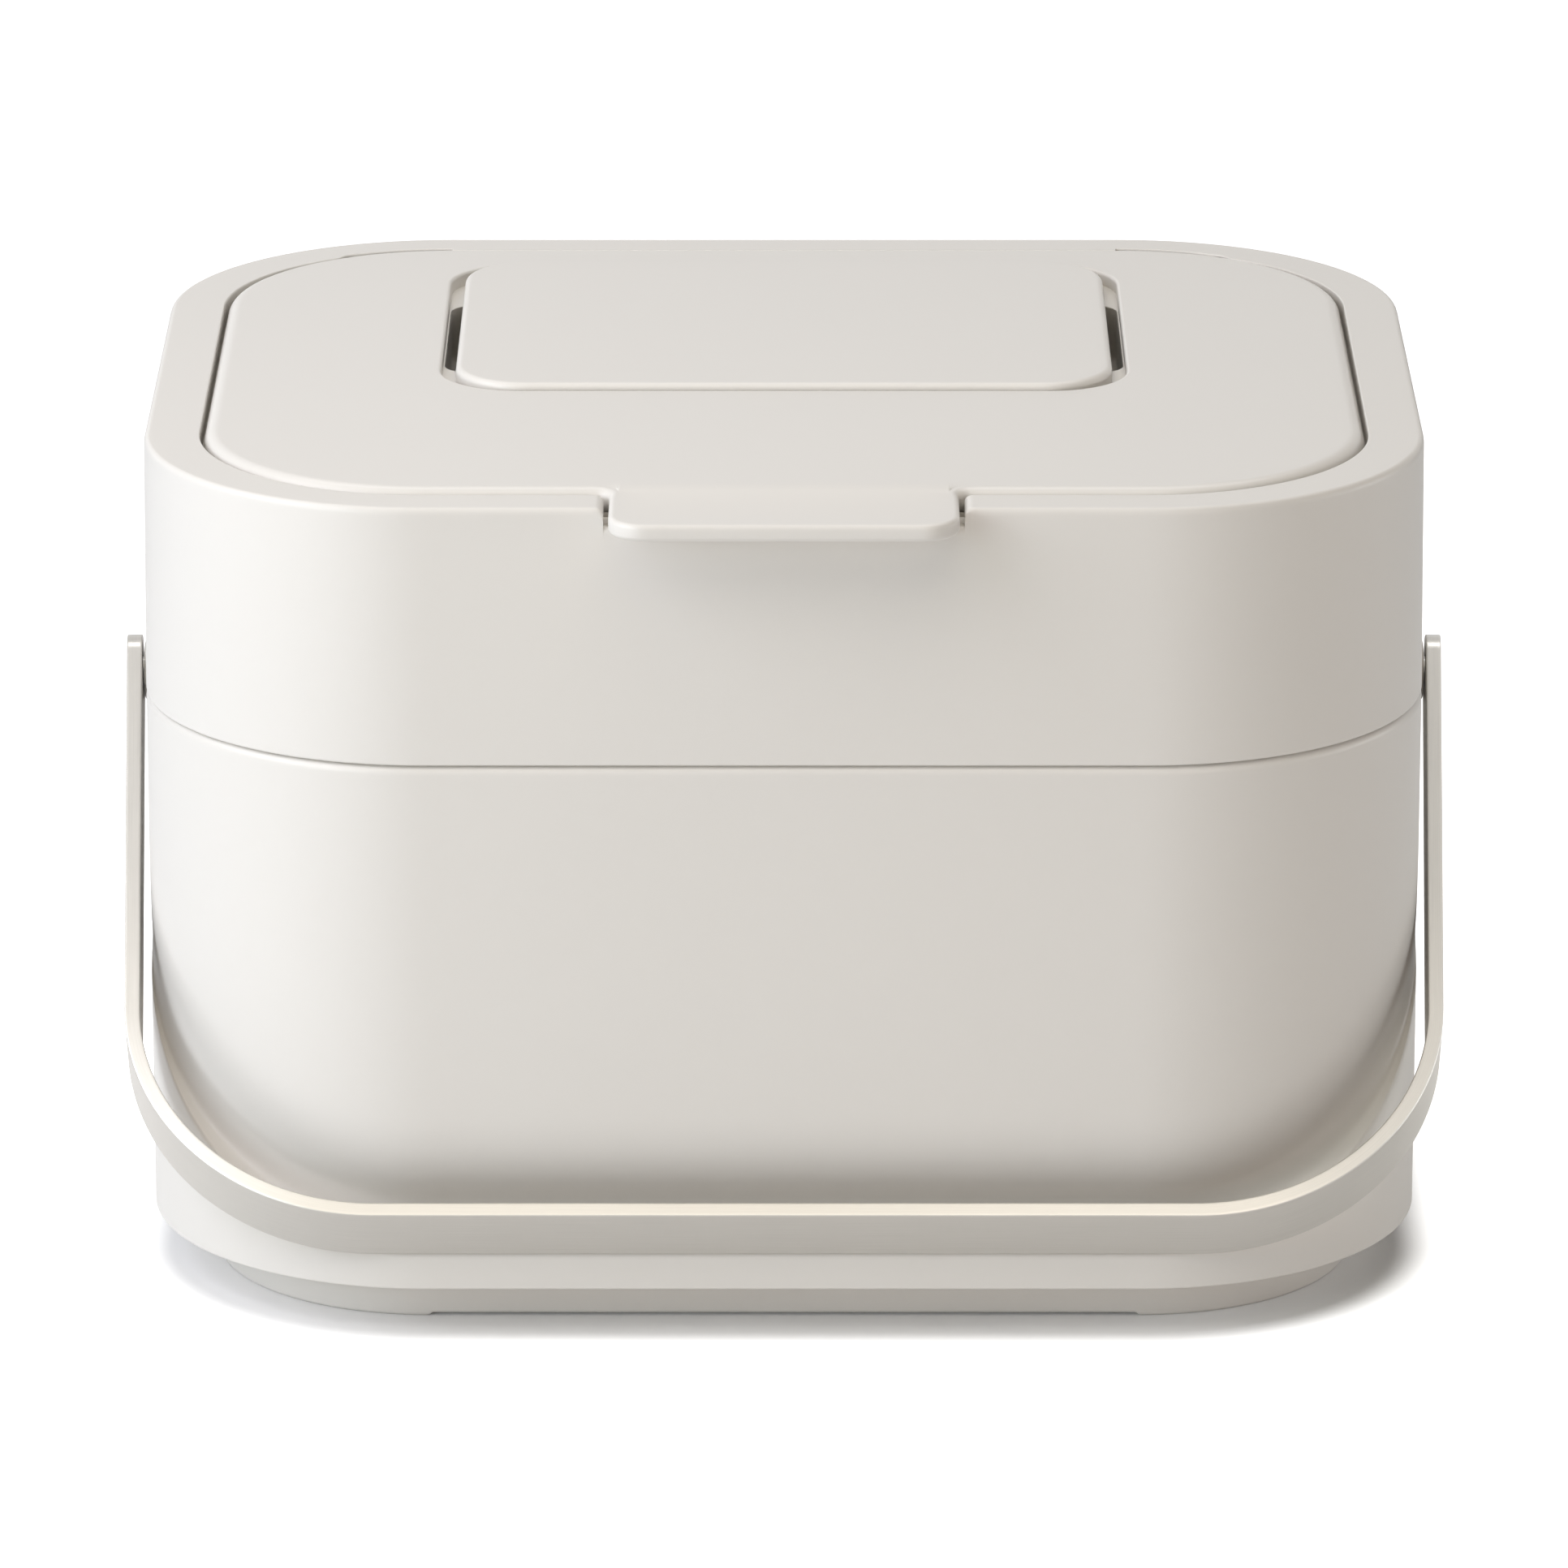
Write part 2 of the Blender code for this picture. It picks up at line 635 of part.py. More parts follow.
def make_tab():
    """The finger tab: an outline with round outer corners, flared where it leaves the lid."""
    half = TAB_WIDTH / 2
    lid_front = -lid_depth / 2
    tip = -BODY_DEPTH / 2 - TAB_OVERHANG
    root = lid_front + LID_EDGE_RADIUS + TAB_STEP
    right = []
    for step in range(CORNER_STEPS + 1):
        angle = math.pi / 2 * step / CORNER_STEPS
        x = half + TAB_ROOT_RADIUS * (1 - math.sin(angle))
        right.append((x, lid_front - TAB_ROOT_RADIUS * (1 - math.cos(angle))))
    for step in range(CORNER_STEPS + 1):
        angle = math.pi / 2 * step / CORNER_STEPS
        x = half - TAB_CORNER_RADIUS * (1 - math.cos(angle))
        right.append((x, tip + TAB_CORNER_RADIUS * (1 - math.sin(angle))))
    right.insert(0, (half + TAB_ROOT_RADIUS, root))
    left = [(-x, y) for x, y in reversed(right)]
    top_z = lid_top_z - TAB_STEP
    tab = upright_plate("finger_tab", right + left, top_z - TAB_THICKNESS, top_z, body_y, cutters)
    flare_end = lid_front - TAB_ROOT_RADIUS + FIT
    chamfer_edges(tab, TAB_EDGE_CHAMFER, lambda corner: corner.y < flare_end)
    return tab


def make_filter_cover():
    """The cover: a plate with a softened top edge and two ribs that locate it in the pocket."""
    top_z = lid_top_z + COVER_RISE
    bottom_z = recess_floor_z + FIT
    cover = upright_plate(
        "filter_cover", cover_outline(COVER_WIDTH / 2, COVER_DEPTH / 2),
        bottom_z, top_z, cover_y, parts,
    )
    chamfer_edges(cover, COVER_EDGE_CHAMFER, lambda corner: corner.z > 0)
    hollow = upright_plate(
        "cover_hollow", rounded_rectangle(
            rib_width / 2, POCKET_LENGTH / 2 - COVER_RIB_WALL - 2 * FIT, POCKET_CORNER_RADIUS
        ),
        bottom_z - OVERRUN, top_z - COLLAR_WALL, cover_y, cutters,
    )
    for end in (-1, 1):
        outer_y = cover_y + end * (POCKET_LENGTH / 2 - FIT)
        inner_y = outer_y - end * COVER_RIB_WALL
        rib = block(
            f"cover_rib_{end}",
            (-rib_width / 2, min(outer_y, inner_y), bottom_z - COVER_RIB_DEPTH),
            (rib_width / 2, max(outer_y, inner_y), (bottom_z + top_z) / 2), cutters,
        )
        combine(cover, rib, "UNION")
    combine(cover, hollow, "DIFFERENCE")
    cover.data.materials.append(finish("filter_cover", STONE, 0.42))
    return cover


def make_filter_pad():
    """The carbon pad, lying on the vent slots."""
    half_y = POCKET_LENGTH / 2 - FILTER_SIDE_GAP
    pad = upright_plate(
        "filter_pad", rounded_rectangle(filter_width / 2, half_y, POCKET_CORNER_RADIUS),
        pocket_floor_z + FIT, pocket_floor_z + FIT + FILTER_THICKNESS, cover_y, parts,
    )
    chamfer_edges(pad, FILTER_CHAMFER, lambda corner: True)
    pad.data.materials.append(finish("filter_pad", CHARCOAL, 0.95))
    return pad


def make_lid_pin(side, label):
    """A hinge pin, from the lid's corner into the collar's wall."""
    lid_inset_x = RIM_SIDE_WIDTH + LID_GAP
    lid_inset_y = RIM_END_WIDTH + LID_GAP
    start = corner_reach(lid_inset_x, lid_inset_y) - PIN_IN_LID
    end = pin_mouth_x() + PIN_IN_COLLAR
    pin = rod(f"lid_pin_{label}", PIN_RADIUS, side * start, side * end, hinge_y, hinge_z, parts)
    pin.data.materials.append(finish(f"lid_pin_{label}", STEEL, 0.3, 1.0))
    return pin


def bail_side(offset):
    """Right half of the bail's outline in its own plane, offset inwards from the outer face.

    Points are (x, distance from the pivot). The arm leans in, a bend follows, and the grip
    crosses over at the bail's reach.
    """
    lean = BAIL_LEAN_ANGLE
    reach = bail_reach - offset
    radius = BAIL_BEND_RADIUS - offset
    bend_start = bail_reach - BAIL_BEND_RADIUS * (1 - math.sin(lean))
    centre_x = arm_face_x - math.tan(lean) * bend_start - BAIL_BEND_RADIUS * math.cos(lean)
    end = -STRIP_WIDTH / 2
    arm_x = centre_x + radius * math.cos(lean) + math.tan(lean) * (bend_start - end)
    side = [(arm_x, end)]
    for step in range(BEND_STEPS + 1):
        angle = lean + (math.pi / 2 - lean) * step / BEND_STEPS
        side.append((centre_x + radius * math.cos(angle), reach - radius * (1 - math.sin(angle))))
    return side


def make_handle_strap():
    """The bail: a U outline in its own plane, as thick as the strip and as deep as it is wide."""
    outer = bail_side(0.0)
    inner = bail_side(STRIP_THICKNESS)
    outline = outer + [(-x, y) for x, y in reversed(outer)]
    outline += [(-x, y) for x, y in inner] + list(reversed(inner))
    strap = plate("handle_strap", outline, STRIP_WIDTH, parts)
    round_arm_ends(strap)
    strap.rotation_euler = (math.pi + BAIL_FOLD_ANGLE, 0.0, 0.0)
    strap.location = (0.0, body_y, pivot_z)
    for side in (-1, 1):
        hole = turned(f"rivet_seat_{side}", rivet_profile(FIT, OVERRUN), side, cutters)
        combine(strap, hole, "DIFFERENCE")
    strap.data.materials.append(finish("handle_strap", STEEL, 0.35, 1.0))
    return strap


def round_arm_ends(strap):
    """Round the arms' ends about the pivot, then break the strip's long edges."""
    mesh = bmesh.new()
    mesh.from_mesh(strap.data)
    half = STRIP_WIDTH / 2
    ends = []
    for edge in mesh.edges:
        first, second = edge.verts
        across = abs(first.co.x - second.co.x) > abs(first.co.z - second.co.z)
        if across and max(first.co.y, second.co.y) < -half / 2:
            ends.append(edge)
    bmesh.ops.bevel(
        mesh, geom=ends, offset=half - STRIP_CHAMFER, segments=2 * EDGE_STEPS, profile=0.5,
        affect="EDGES",
    )
    mesh.to_mesh(strap.data)
    mesh.free()


def rivet_profile(grow, longer):
    """Half-section of a rivet as (distance from the middle, radius), grown for the hole it fills."""
    face = arm_face_x - RIVET_HEAD_SINK
    inside = BODY_WIDTH / 2 - PAIL_WALL
    closed_out = inside - FIT - WASHER_THICKNESS - FIT
    closed_in = closed_out - RIVET_CLOSED_HEAD_THICKNESS
    if longer:
        neck = face - STRIP_THICKNESS - longer
        return [
            (face + longer, 0.0), (face + longer, RIVET_HEAD_RADIUS + grow),
            (face, RIVET_HEAD_RADIUS + grow), (face - RIVET_HEAD_DEPTH, RIVET_RADIUS + grow),
            (neck, RIVET_RADIUS + grow), (neck, 0.0),
        ]
    return [
        (face, 0.0), (face, RIVET_HEAD_RADIUS), (face - RIVET_HEAD_DEPTH, RIVET_RADIUS),
        (closed_out, RIVET_RADIUS), (closed_out, RIVET_CLOSED_HEAD_RADIUS),
        (closed_in, RIVET_RADIUS), (closed_in, 0.0),
    ]


def make_handle_fixings(side, label):
    """One side's rivet, the spacer outside the pail and the washer inside it."""
    rivet = turned(f"handle_rivet_{label}", rivet_profile(0.0, 0.0), side, parts)
    rivet.data.materials.append(finish(f"handle_rivet_{label}", STEEL, 0.3, 1.0))
    bore = RIVET_RADIUS + FIT
    arm_inner = arm_face_x - STRIP_THICKNESS
    lean_in = math.tan(BAIL_LEAN_ANGLE) * SPACER_RADIUS
    spacer_out = arm_inner - lean_in - FIT
    spacer_in = BODY_WIDTH / 2 + FIT
    spacer = turned(f"handle_spacer_{label}", [
        (spacer_out, bore), (spacer_out, SPACER_RADIUS), (spacer_in, SPACER_RADIUS), (spacer_in, bore)
    ], side, parts)
    spacer.data.materials.append(finish(f"handle_spacer_{label}", STONE, 0.4))
    washer_out = BODY_WIDTH / 2 - PAIL_WALL - FIT
    washer_in = washer_out - WASHER_THICKNESS
    washer = turned(f"handle_washer_{label}", [
        (washer_out, bore), (washer_out, WASHER_RADIUS), (washer_in, WASHER_RADIUS), (washer_in, bore)
    ], side, parts)
    washer.data.materials.append(finish(f"handle_washer_{label}", STEEL, 0.3, 1.0))
    return rivet, spacer, washer


make_pail()
make_collar()
lid = make_lid()
filter_cover = make_filter_cover()
filter_pad = make_filter_pad()
pins = [make_lid_pin(-1, "left"), make_lid_pin(1, "right")]
strap = make_handle_strap()
rivets = []
for side, label in ((-1, "left"), (1, "right")):
    rivets.append(make_handle_fixings(side, label)[0])
hang_on("lid_hinge_axis", (0.0, hinge_y, hinge_z), [lid, filter_cover, filter_pad] + pins)
hang_on("handle_axis", (0.0, body_y, pivot_z), [strap] + rivets)
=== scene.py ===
import math

import bpy
import numpy as np
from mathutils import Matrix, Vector


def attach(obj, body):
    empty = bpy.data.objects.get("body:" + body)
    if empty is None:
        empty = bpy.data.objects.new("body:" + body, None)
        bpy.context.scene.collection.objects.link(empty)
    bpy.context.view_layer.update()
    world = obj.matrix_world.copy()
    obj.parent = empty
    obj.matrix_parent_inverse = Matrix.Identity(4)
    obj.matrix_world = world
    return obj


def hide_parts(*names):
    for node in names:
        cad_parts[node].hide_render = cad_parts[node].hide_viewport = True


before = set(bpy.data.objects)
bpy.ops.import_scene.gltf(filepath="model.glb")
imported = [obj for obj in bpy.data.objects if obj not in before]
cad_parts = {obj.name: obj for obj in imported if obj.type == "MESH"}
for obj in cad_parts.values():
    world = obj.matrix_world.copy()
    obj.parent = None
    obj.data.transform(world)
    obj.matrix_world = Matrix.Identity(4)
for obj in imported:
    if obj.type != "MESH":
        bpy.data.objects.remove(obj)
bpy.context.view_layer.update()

# The pail: one moulding in matt stone-grey polypropylene. Its front is scooped out to leave a
# sloping ledge for the folded handle, and it stands on a set-back plinth with four corner feet.
# Shapes are worked out in millimetres about the body's middle and written in metres.
MM = 0.001
BODY_MIDDLE_Y = 7.3
BODY_HALF = (140.1, 114.1)
BODY_CORNER = 62.2
PAIL_TOP = 130.5
WALL = 2.4
PAIL_RIM_ROUND = 1.9
PAIL_BAND = 3.5
PAIL_INNER_BAND = 4.0
PLINTH_TOP = 11.3
PLINTH_INSET = 14.0
PLINTH_LAND = 2.4
FOOT_INSET = 19.0
FOOT_CLOSING = 2.0
FOOT_HEIGHT = 2.4
FOOT_GAP = 0.6
FLOOR_INSET = 16.4
FLOOR_STEP = 13.9
FLOOR_TOP = 5.0
FLOOR_MARGIN = 24.0
PIVOT_Z = 117.7
FOLD = math.radians(37.6)
HANDLE_TO_LEDGE = 8.2
LEDGE_DROP = HANDLE_TO_LEDGE / math.cos(FOLD)
SCOOP_DEPTH = 8.4
SCOOP_ARC = 41.0
LEDGE_FACE = 4.6
LEDGE_ROUND = 2.4
VALLEY_ROUND = 7.0
FIRST_ON_ARC = 8
NOTCH_HALF = 38.5
STONE = (0.735, 0.708, 0.668)

# The columns serve the collar as well, and stand close together at its notch for the tab.
turn = np.radians(np.linspace(0.0, 90.0, 33))
past_notch = np.array([2.5, 2.0, 1.6, 1.1, 0.6, 0.3, 0.1, 0.0, -0.01, -0.2, -0.5, -1.0])
front_run = np.concatenate([
    [-77.0, -74.0, -66.0, -56.0, -48.0, -43.0], -NOTCH_HALF - past_notch,
    [-34.0, -28.0, -20.0, -10.0, 0.0],
])
front_run = np.concatenate([front_run, -front_run[-2::-1]])
back_run = np.concatenate([[76.9], np.linspace(72.0, -72.0, 13), [-76.9]])
side_run = np.linspace(36.0, -36.0, 9)


def round_columns():
    """The columns round the body, anticlockwise from the right side's back end.

    Each column has the side signs of its corner, the angle that its wall faces, and, on a straight
    run, the place along that run, which stays put when the outline moves inwards.
    """
    runs = (
        (1, 1, turn, None), (0, 1, np.pi / 2, back_run), (-1, 1, turn + np.pi / 2, None),
        (-1, 0, np.pi, side_run), (-1, -1, turn + np.pi, None), (0, -1, 1.5 * np.pi, front_run),
        (1, -1, turn + 1.5 * np.pi, None), (1, 0, 2 * np.pi, side_run[::-1]),
    )
    columns = []
    for side_x, side_y, angle, along in runs:
        count = len(angle) if along is None else len(along)
        block = np.zeros((count, 5))
        block[:, 0] = side_x
        block[:, 1] = side_y
        block[:, 2] = angle
        if along is not None:
            block[:, 3 if side_x == 0 else 4] = along
        columns.append(block)
    return np.concatenate(columns).T


sign_x, sign_y, facing, run_x, run_y = round_columns()


def body_loop(half_x, half_y, radius):
    """Outline of a round-cornered rectangle at every column.

    A corner's point is sign * (half - radius) + radius * (cos, sin) of the angle it faces; a point
    on a straight run keeps its own place along the run.
    """
    x = np.where(sign_x == 0, run_x, sign_x * (half_x - radius) + radius * np.cos(facing))
    y = np.where(sign_y == 0, run_y, sign_y * (half_y - radius) + radius * np.sin(facing))
    return x, y


def rounded_path(corners, steps=6, hold=0.3):
    """Points along a polyline with rounded corners; each corner is (coordinates..., radius).

    With unit legs u in and v out that turn by t, the arc starts radius * tan(t / 2) before the
    corner and runs along radius * (sin(a) * u + (1 - cos(a)) * w), w being v made square to u. A
    point held a little way out on each leg keeps the flats flat when the piece is shaded.
    """
    corners = [np.array(corner, float) for corner in corners]
    points = [corners[0][:-1]]
    for before, corner, after in zip(corners, corners[1:], corners[2:]):
        place, radius = corner[:-1], corner[-1]
        come = place - before[:-1]
        go = after[:-1] - place
        u = come / np.linalg.norm(come)
        v = go / np.linalg.norm(go)
        angle = math.acos(max(-1.0, min(1.0, float(u @ v))))
        if radius <= 0.0 or angle < 0.01:
            points.append(place)
            continue
        reach = radius * math.tan(angle / 2)
        w = (v - math.cos(angle) * u) / math.sin(angle)
        start = place - u * reach
        if np.linalg.norm(come) > reach + 2 * hold:
            points.append(start - u * hold)
        swing = np.linspace(0.0, angle, steps + 1)[:, None]
        points.extend(start + radius * (np.sin(swing) * u + (1 - np.cos(swing)) * w))
        if np.linalg.norm(go) > reach + 2 * hold:
            points.append(place + v * (reach + hold))
    points.append(corners[-1][:-1])
    return np.array(points)


def skin(name, rings, closed=False, sharp=38.0):
    """A solid over a grid of points: rings[i, j] is step i along the section at column j.

    Quad (i, j) joins that point to the next column and the next step. The columns close on
    themselves; the first and last steps are joined up, or else each is closed by a flat face.
    """
    steps, columns = rings.shape[:2]
    index = np.arange(steps * columns).reshape(steps, columns)
    lower = index if closed else index[:-1]
    upper = np.roll(index, -1, axis=0) if closed else index[1:]
    quads = np.stack([lower, np.roll(lower, -1, 1), np.roll(upper, -1, 1), upper], axis=-1)
    faces = quads.reshape(-1, 4).tolist()
    if not closed:
        faces += [index[0][::-1].tolist(), index[-1].tolist()]
    mesh = bpy.data.meshes.new(name)
    mesh.from_pydata(rings.reshape(-1, 3) * MM, [], faces)
    mesh.shade_smooth()
    mesh.set_sharp_from_angle(angle=math.radians(sharp))
    piece = bpy.data.objects.new(name, mesh)
    bpy.context.scene.collection.objects.link(piece)
    return piece


def lift(x, y, z):
    """Stack plan coordinates about the body's middle, and heights, into points of the part."""
    x, y, z = np.broadcast_arrays(x, y, z)
    return np.stack([x, y + BODY_MIDDLE_Y, z], axis=-1)


def ledge_height(y):
    """Height of the ledge's plane at y: it falls forwards from under the handle's pivot."""
    return PIVOT_Z + math.tan(FOLD) * y - LEDGE_DROP


def scoop_rings(inset, profile):
    """Rings of the wall where it follows the ledge.

    The profile is (move back, height above the ledge's edge). Every column of the front and its
    corners takes that profile from its own foot on the ledge's plane; the sides and back, which
    don't move, take the heights at the corner's end.
    """
    x, y = body_loop(BODY_HALF[0] - inset, BODY_HALF[1] - inset, BODY_CORNER - inset)
    corner_y = BODY_CORNER - BODY_HALF[1]
    front = sign_y < 0
    foot = ledge_height(np.minimum(np.where(front, y, corner_y), corner_y))
    back = profile[:, :1] * np.where(front, 1.0, 0.0)
    return lift(x, y + back, foot + profile[:, 1:])


def level_rings(path, shift=0.0):
    """Level rings of the body's outline for a path of (inset, height)."""
    stack = []
    for inset, height in path:
        x, y = body_loop(BODY_HALF[0] - inset, BODY_HALF[1] - inset, BODY_CORNER - inset)
        stack.append(lift(x, y + shift * (sign_y < 0), height))
    return np.array(stack)


straight = (sign_x == 0) | (sign_y == 0)
foot_path = rounded_path([
    (FOOT_INSET + FOOT_CLOSING, FOOT_HEIGHT, 0), (FOOT_INSET, FOOT_HEIGHT, 0.4),
    (FOOT_INSET, 0.0, 0.5), (PLINTH_INSET, 0.0, 0.8), (PLINTH_INSET, PLINTH_TOP, 0.7),
    (0.0, PLINTH_TOP, 0.5), (0.0, PLINTH_TOP + PLINTH_LAND, 0),
])
# Between the corner feet the plinth's bottom edge is raised, and its wall above is left alone.
foot_rings = level_rings(foot_path)
raised = np.interp(foot_path[:, 1], [0.0, FOOT_HEIGHT - 1.0, FOOT_HEIGHT], [1.0, 1.0, 0.0])
raised = raised * (foot_path[:, 0] >= PLINTH_INSET)
foot_rings[:, :, 2] += FOOT_GAP * raised[:, None] * straight

scoop_angle = math.acos(1 - SCOOP_DEPTH / SCOOP_ARC)
valley_rise = math.tan(FOLD) * SCOOP_DEPTH
climb = np.linspace(scoop_angle, 0.0, 26)
arc = np.stack([
    SCOOP_ARC * (1 - np.cos(climb)),
    valley_rise + SCOOP_ARC * (math.sin(scoop_angle) - np.sin(climb)),
], axis=1)
ledge_path = np.concatenate([
    rounded_path([
        (0.0, -LEDGE_FACE, 0), (0.0, 0.0, LEDGE_ROUND),
        (SCOOP_DEPTH, valley_rise, VALLEY_ROUND), (*arc[FIRST_ON_ARC], 0),
    ], steps=12),
    arc[FIRST_ON_ARC + 1:],
])
rim_path = rounded_path([
    (0.0, PAIL_TOP - PAIL_BAND, 0), (0.0, PAIL_TOP, PAIL_RIM_ROUND), (WALL, PAIL_TOP, 0.3),
    (WALL, PAIL_TOP - PAIL_INNER_BAND, 0),
])
inner_arc = arc[::-1]
floor_path = rounded_path([
    (WALL, FLOOR_MARGIN, 0), (WALL, FLOOR_STEP, 2.5), (FLOOR_INSET, FLOOR_STEP, 0.8),
    (FLOOR_INSET, FLOOR_TOP, 1.6), (FLOOR_MARGIN, FLOOR_TOP, 0),
])
# Low down the inner wall stands back behind the scoop, and the floor itself does not move.
deep = floor_path[:, 0] < PLINTH_INSET
floor_rings = np.concatenate([
    level_rings(floor_path[deep], SCOOP_DEPTH), level_rings(floor_path[~deep]),
])
pail = skin("pail_shell", np.concatenate([
    foot_rings, scoop_rings(0.0, ledge_path), level_rings(rim_path),
    scoop_rings(WALL, inner_arc), floor_rings,
]))


def start_material(name):
    """A new node material, with its nodes, its links and its surface shader."""
    material = bpy.data.materials.new(name)
    material.use_nodes = True
    tree = material.node_tree
    return material, tree.nodes, tree.links, tree.nodes["Principled BSDF"]


def shades(tint, colour, darker, lighter):
    """Set a colour mix to run from a darker to a lighter shade of one colour."""
    tint.data_type = "RGBA"
    tint.inputs["A"].default_value = (*[darker * part for part in colour], 1.0)
    tint.inputs["B"].default_value = (*[lighter * part for part in colour], 1.0)


def moulded_plastic(name, colour, roughness=0.38, grain=1.0):
    """Matt moulded plastic: an even colour that drifts a little, and a fine eroded grain.

    The grain is noise at about a third of a millimetre, as a bump some microns deep.
    """
    material, nodes, links, shader = start_material(name)
    shader.inputs["Roughness"].default_value = roughness
    shader.inputs["IOR"].default_value = 1.49
    place = nodes.new("ShaderNodeTexCoord")
    drift = nodes.new("ShaderNodeTexNoise")
    drift.inputs["Scale"].default_value = 9.0
    drift.inputs["Detail"].default_value = 3.0
    links.new(place.outputs["Object"], drift.inputs["Vector"])
    tint = nodes.new("ShaderNodeMix")
    shades(tint, colour, 0.985, 1.015)
    links.new(drift.outputs["Fac"], tint.inputs["Factor"])
    links.new(tint.outputs["Result"], shader.inputs["Base Color"])
    fine = nodes.new("ShaderNodeTexNoise")
    fine.inputs["Scale"].default_value = 2600.0
    fine.inputs["Detail"].default_value = 2.0
    links.new(place.outputs["Object"], fine.inputs["Vector"])
    bump = nodes.new("ShaderNodeBump")
    bump.inputs["Strength"].default_value = 0.35 * grain
    bump.inputs["Distance"].default_value = 0.00002
    links.new(fine.outputs["Fac"], bump.inputs["Height"])
    links.new(bump.outputs["Normal"], shader.inputs["Normal"])
    return material


stone_plastic = moulded_plastic("stone_plastic", STONE)
pail.data.materials.append(stone_plastic)
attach(pail, "pail")
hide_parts("pail")

# The collar: the lift-off upper section, moulded in the same plastic. A skirt drops inside the
# pail, a flat rim frames the lid, which lies on an inner seat, and a notch lets the tab through.
RIM_TOP = 188.0
COLLAR_FOOT = 130.75
COLLAR_FOOT_INSET = 3.0
COLLAR_DRAFT = 0.5
RIM_ROUND = 1.65
RIM_INSET = (12.7, 11.1)
SEAT_INSET = (17.7, 16.1)
SEAT_TOP = 182.4
SEAT_BACK = (8.7, 7.1)
SHELL_INSIDE = 2.9
SKIRT_INSIDE = 4.8
SKIRT_OUTSIDE = 2.8
SKIRT_BOTTOM = 125.4
SKIRT_SHOULDER = (143.3, 137.3)
SHOULDER_ROUND = 3.0
NOTCH_DEPTH = 4.2
NOTCH_ROUND = 1.6
NOTCH_EDGE = RIM_TOP - 2.6
NOTCH_LOWEST = RIM_TOP - 7.5
NOTCH_INSET = 0.44
RELIEF = 1.4
RELIEF_FROM = math.radians(61)
HINGE_Y = 98.7
HINGE_Z = 186.4
SOCKET_RADIUS = 1.1
SOCKET_X = (96.0, 104.5)


def sided_rings(path, relief):
    """Rings for a path of (inset at the sides, inset at the ends, height, share of the notch).

    The corner radius loses the mean of the two insets. Inside the notch each point drops by its
    share of the notch's depth, on a rounded lip. The opening's wall, above the seat, moves out
    by the relief of each column.
    """
    stack = []
    for side_inset, end_inset, height, share in path:
        radius = BODY_CORNER - (side_inset + end_inset) / 2
        half_x = BODY_HALF[0] - side_inset
        half_y = BODY_HALF[1] - end_inset
        on_opening = side_inset > RIM_INSET[0] - 1.0 and height > SEAT_TOP + 0.1
        extra = relief if on_opening else 0.0
        x, y = body_loop(half_x, half_y, radius)
        x = x + extra * np.cos(facing)
        y = y + extra * np.sin(facing)
        drop = notch_drop(x) * share * ((sign_x == 0) & (sign_y < 0))
        stack.append(lift(x, y, height - drop))
    return np.array(stack)


def notch_drop(x):
    """Depth of the notch at x: nothing outside it, a quarter-round lip, then its full depth."""
    out = np.clip((np.abs(x) - NOTCH_HALF) / NOTCH_ROUND, 0.0, 1.0)
    lip = NOTCH_ROUND * (1 - np.sqrt(1 - (1 - out) ** 2))
    return np.where(np.abs(x) < NOTCH_HALF - 0.005, NOTCH_DEPTH, lip)


# The back corners stand back a little, from where the hinge swings the lid's edge past them.
back_corner = (sign_x != 0) & (sign_y > 0) & (np.abs(np.sin(facing)) >= math.sin(RELIEF_FROM))
outer_wall = rounded_path([
    (COLLAR_FOOT_INSET, COLLAR_FOOT_INSET, COLLAR_FOOT, 0), (0.0, 0.0, COLLAR_FOOT, 0.5),
    (COLLAR_DRAFT, COLLAR_DRAFT, RIM_TOP, RIM_ROUND), (*RIM_INSET, RIM_TOP, 0.4),
    (*RIM_INSET, SEAT_TOP, 0.0), (*SEAT_INSET, SEAT_TOP, 0.5),
    (*SEAT_INSET, SEAT_TOP - WALL, 0.5), (*SEAT_BACK, SEAT_TOP - WALL, 0.3),
    (*SEAT_BACK, RIM_TOP - WALL, 0.6), (SHELL_INSIDE, SHELL_INSIDE, RIM_TOP - WALL, 0.8),
    (SHELL_INSIDE, SHELL_INSIDE, SKIRT_SHOULDER[0], SHOULDER_ROUND),
    (SKIRT_INSIDE, SKIRT_INSIDE, SKIRT_SHOULDER[1], SHOULDER_ROUND),
    (SKIRT_INSIDE, SKIRT_INSIDE, SKIRT_BOTTOM, 0.6),
    (SKIRT_OUTSIDE, SKIRT_OUTSIDE, SKIRT_BOTTOM, 0.4),
    (SKIRT_OUTSIDE, SKIRT_OUTSIDE, COLLAR_FOOT, 0.3),
    (COLLAR_FOOT_INSET - 0.02, COLLAR_FOOT_INSET - 0.02, COLLAR_FOOT, 0),
])
# The rim drops in the notch, and one more ring below it keeps the wall under it flat.
share = np.where(outer_wall[:, 2] > NOTCH_EDGE, 1.0, 0.0)
held_ring = np.array([[NOTCH_INSET, NOTCH_INSET, NOTCH_LOWEST]])
place_in_path = int(np.argmax(outer_wall[:, 2] > NOTCH_LOWEST))
outer_wall = np.insert(outer_wall, place_in_path, held_ring, axis=0)
share = np.insert(share, place_in_path, 0.0)
collar_path = np.column_stack([outer_wall, share])
collar = skin("collar_shell", sided_rings(collar_path, RELIEF * back_corner), closed=True)


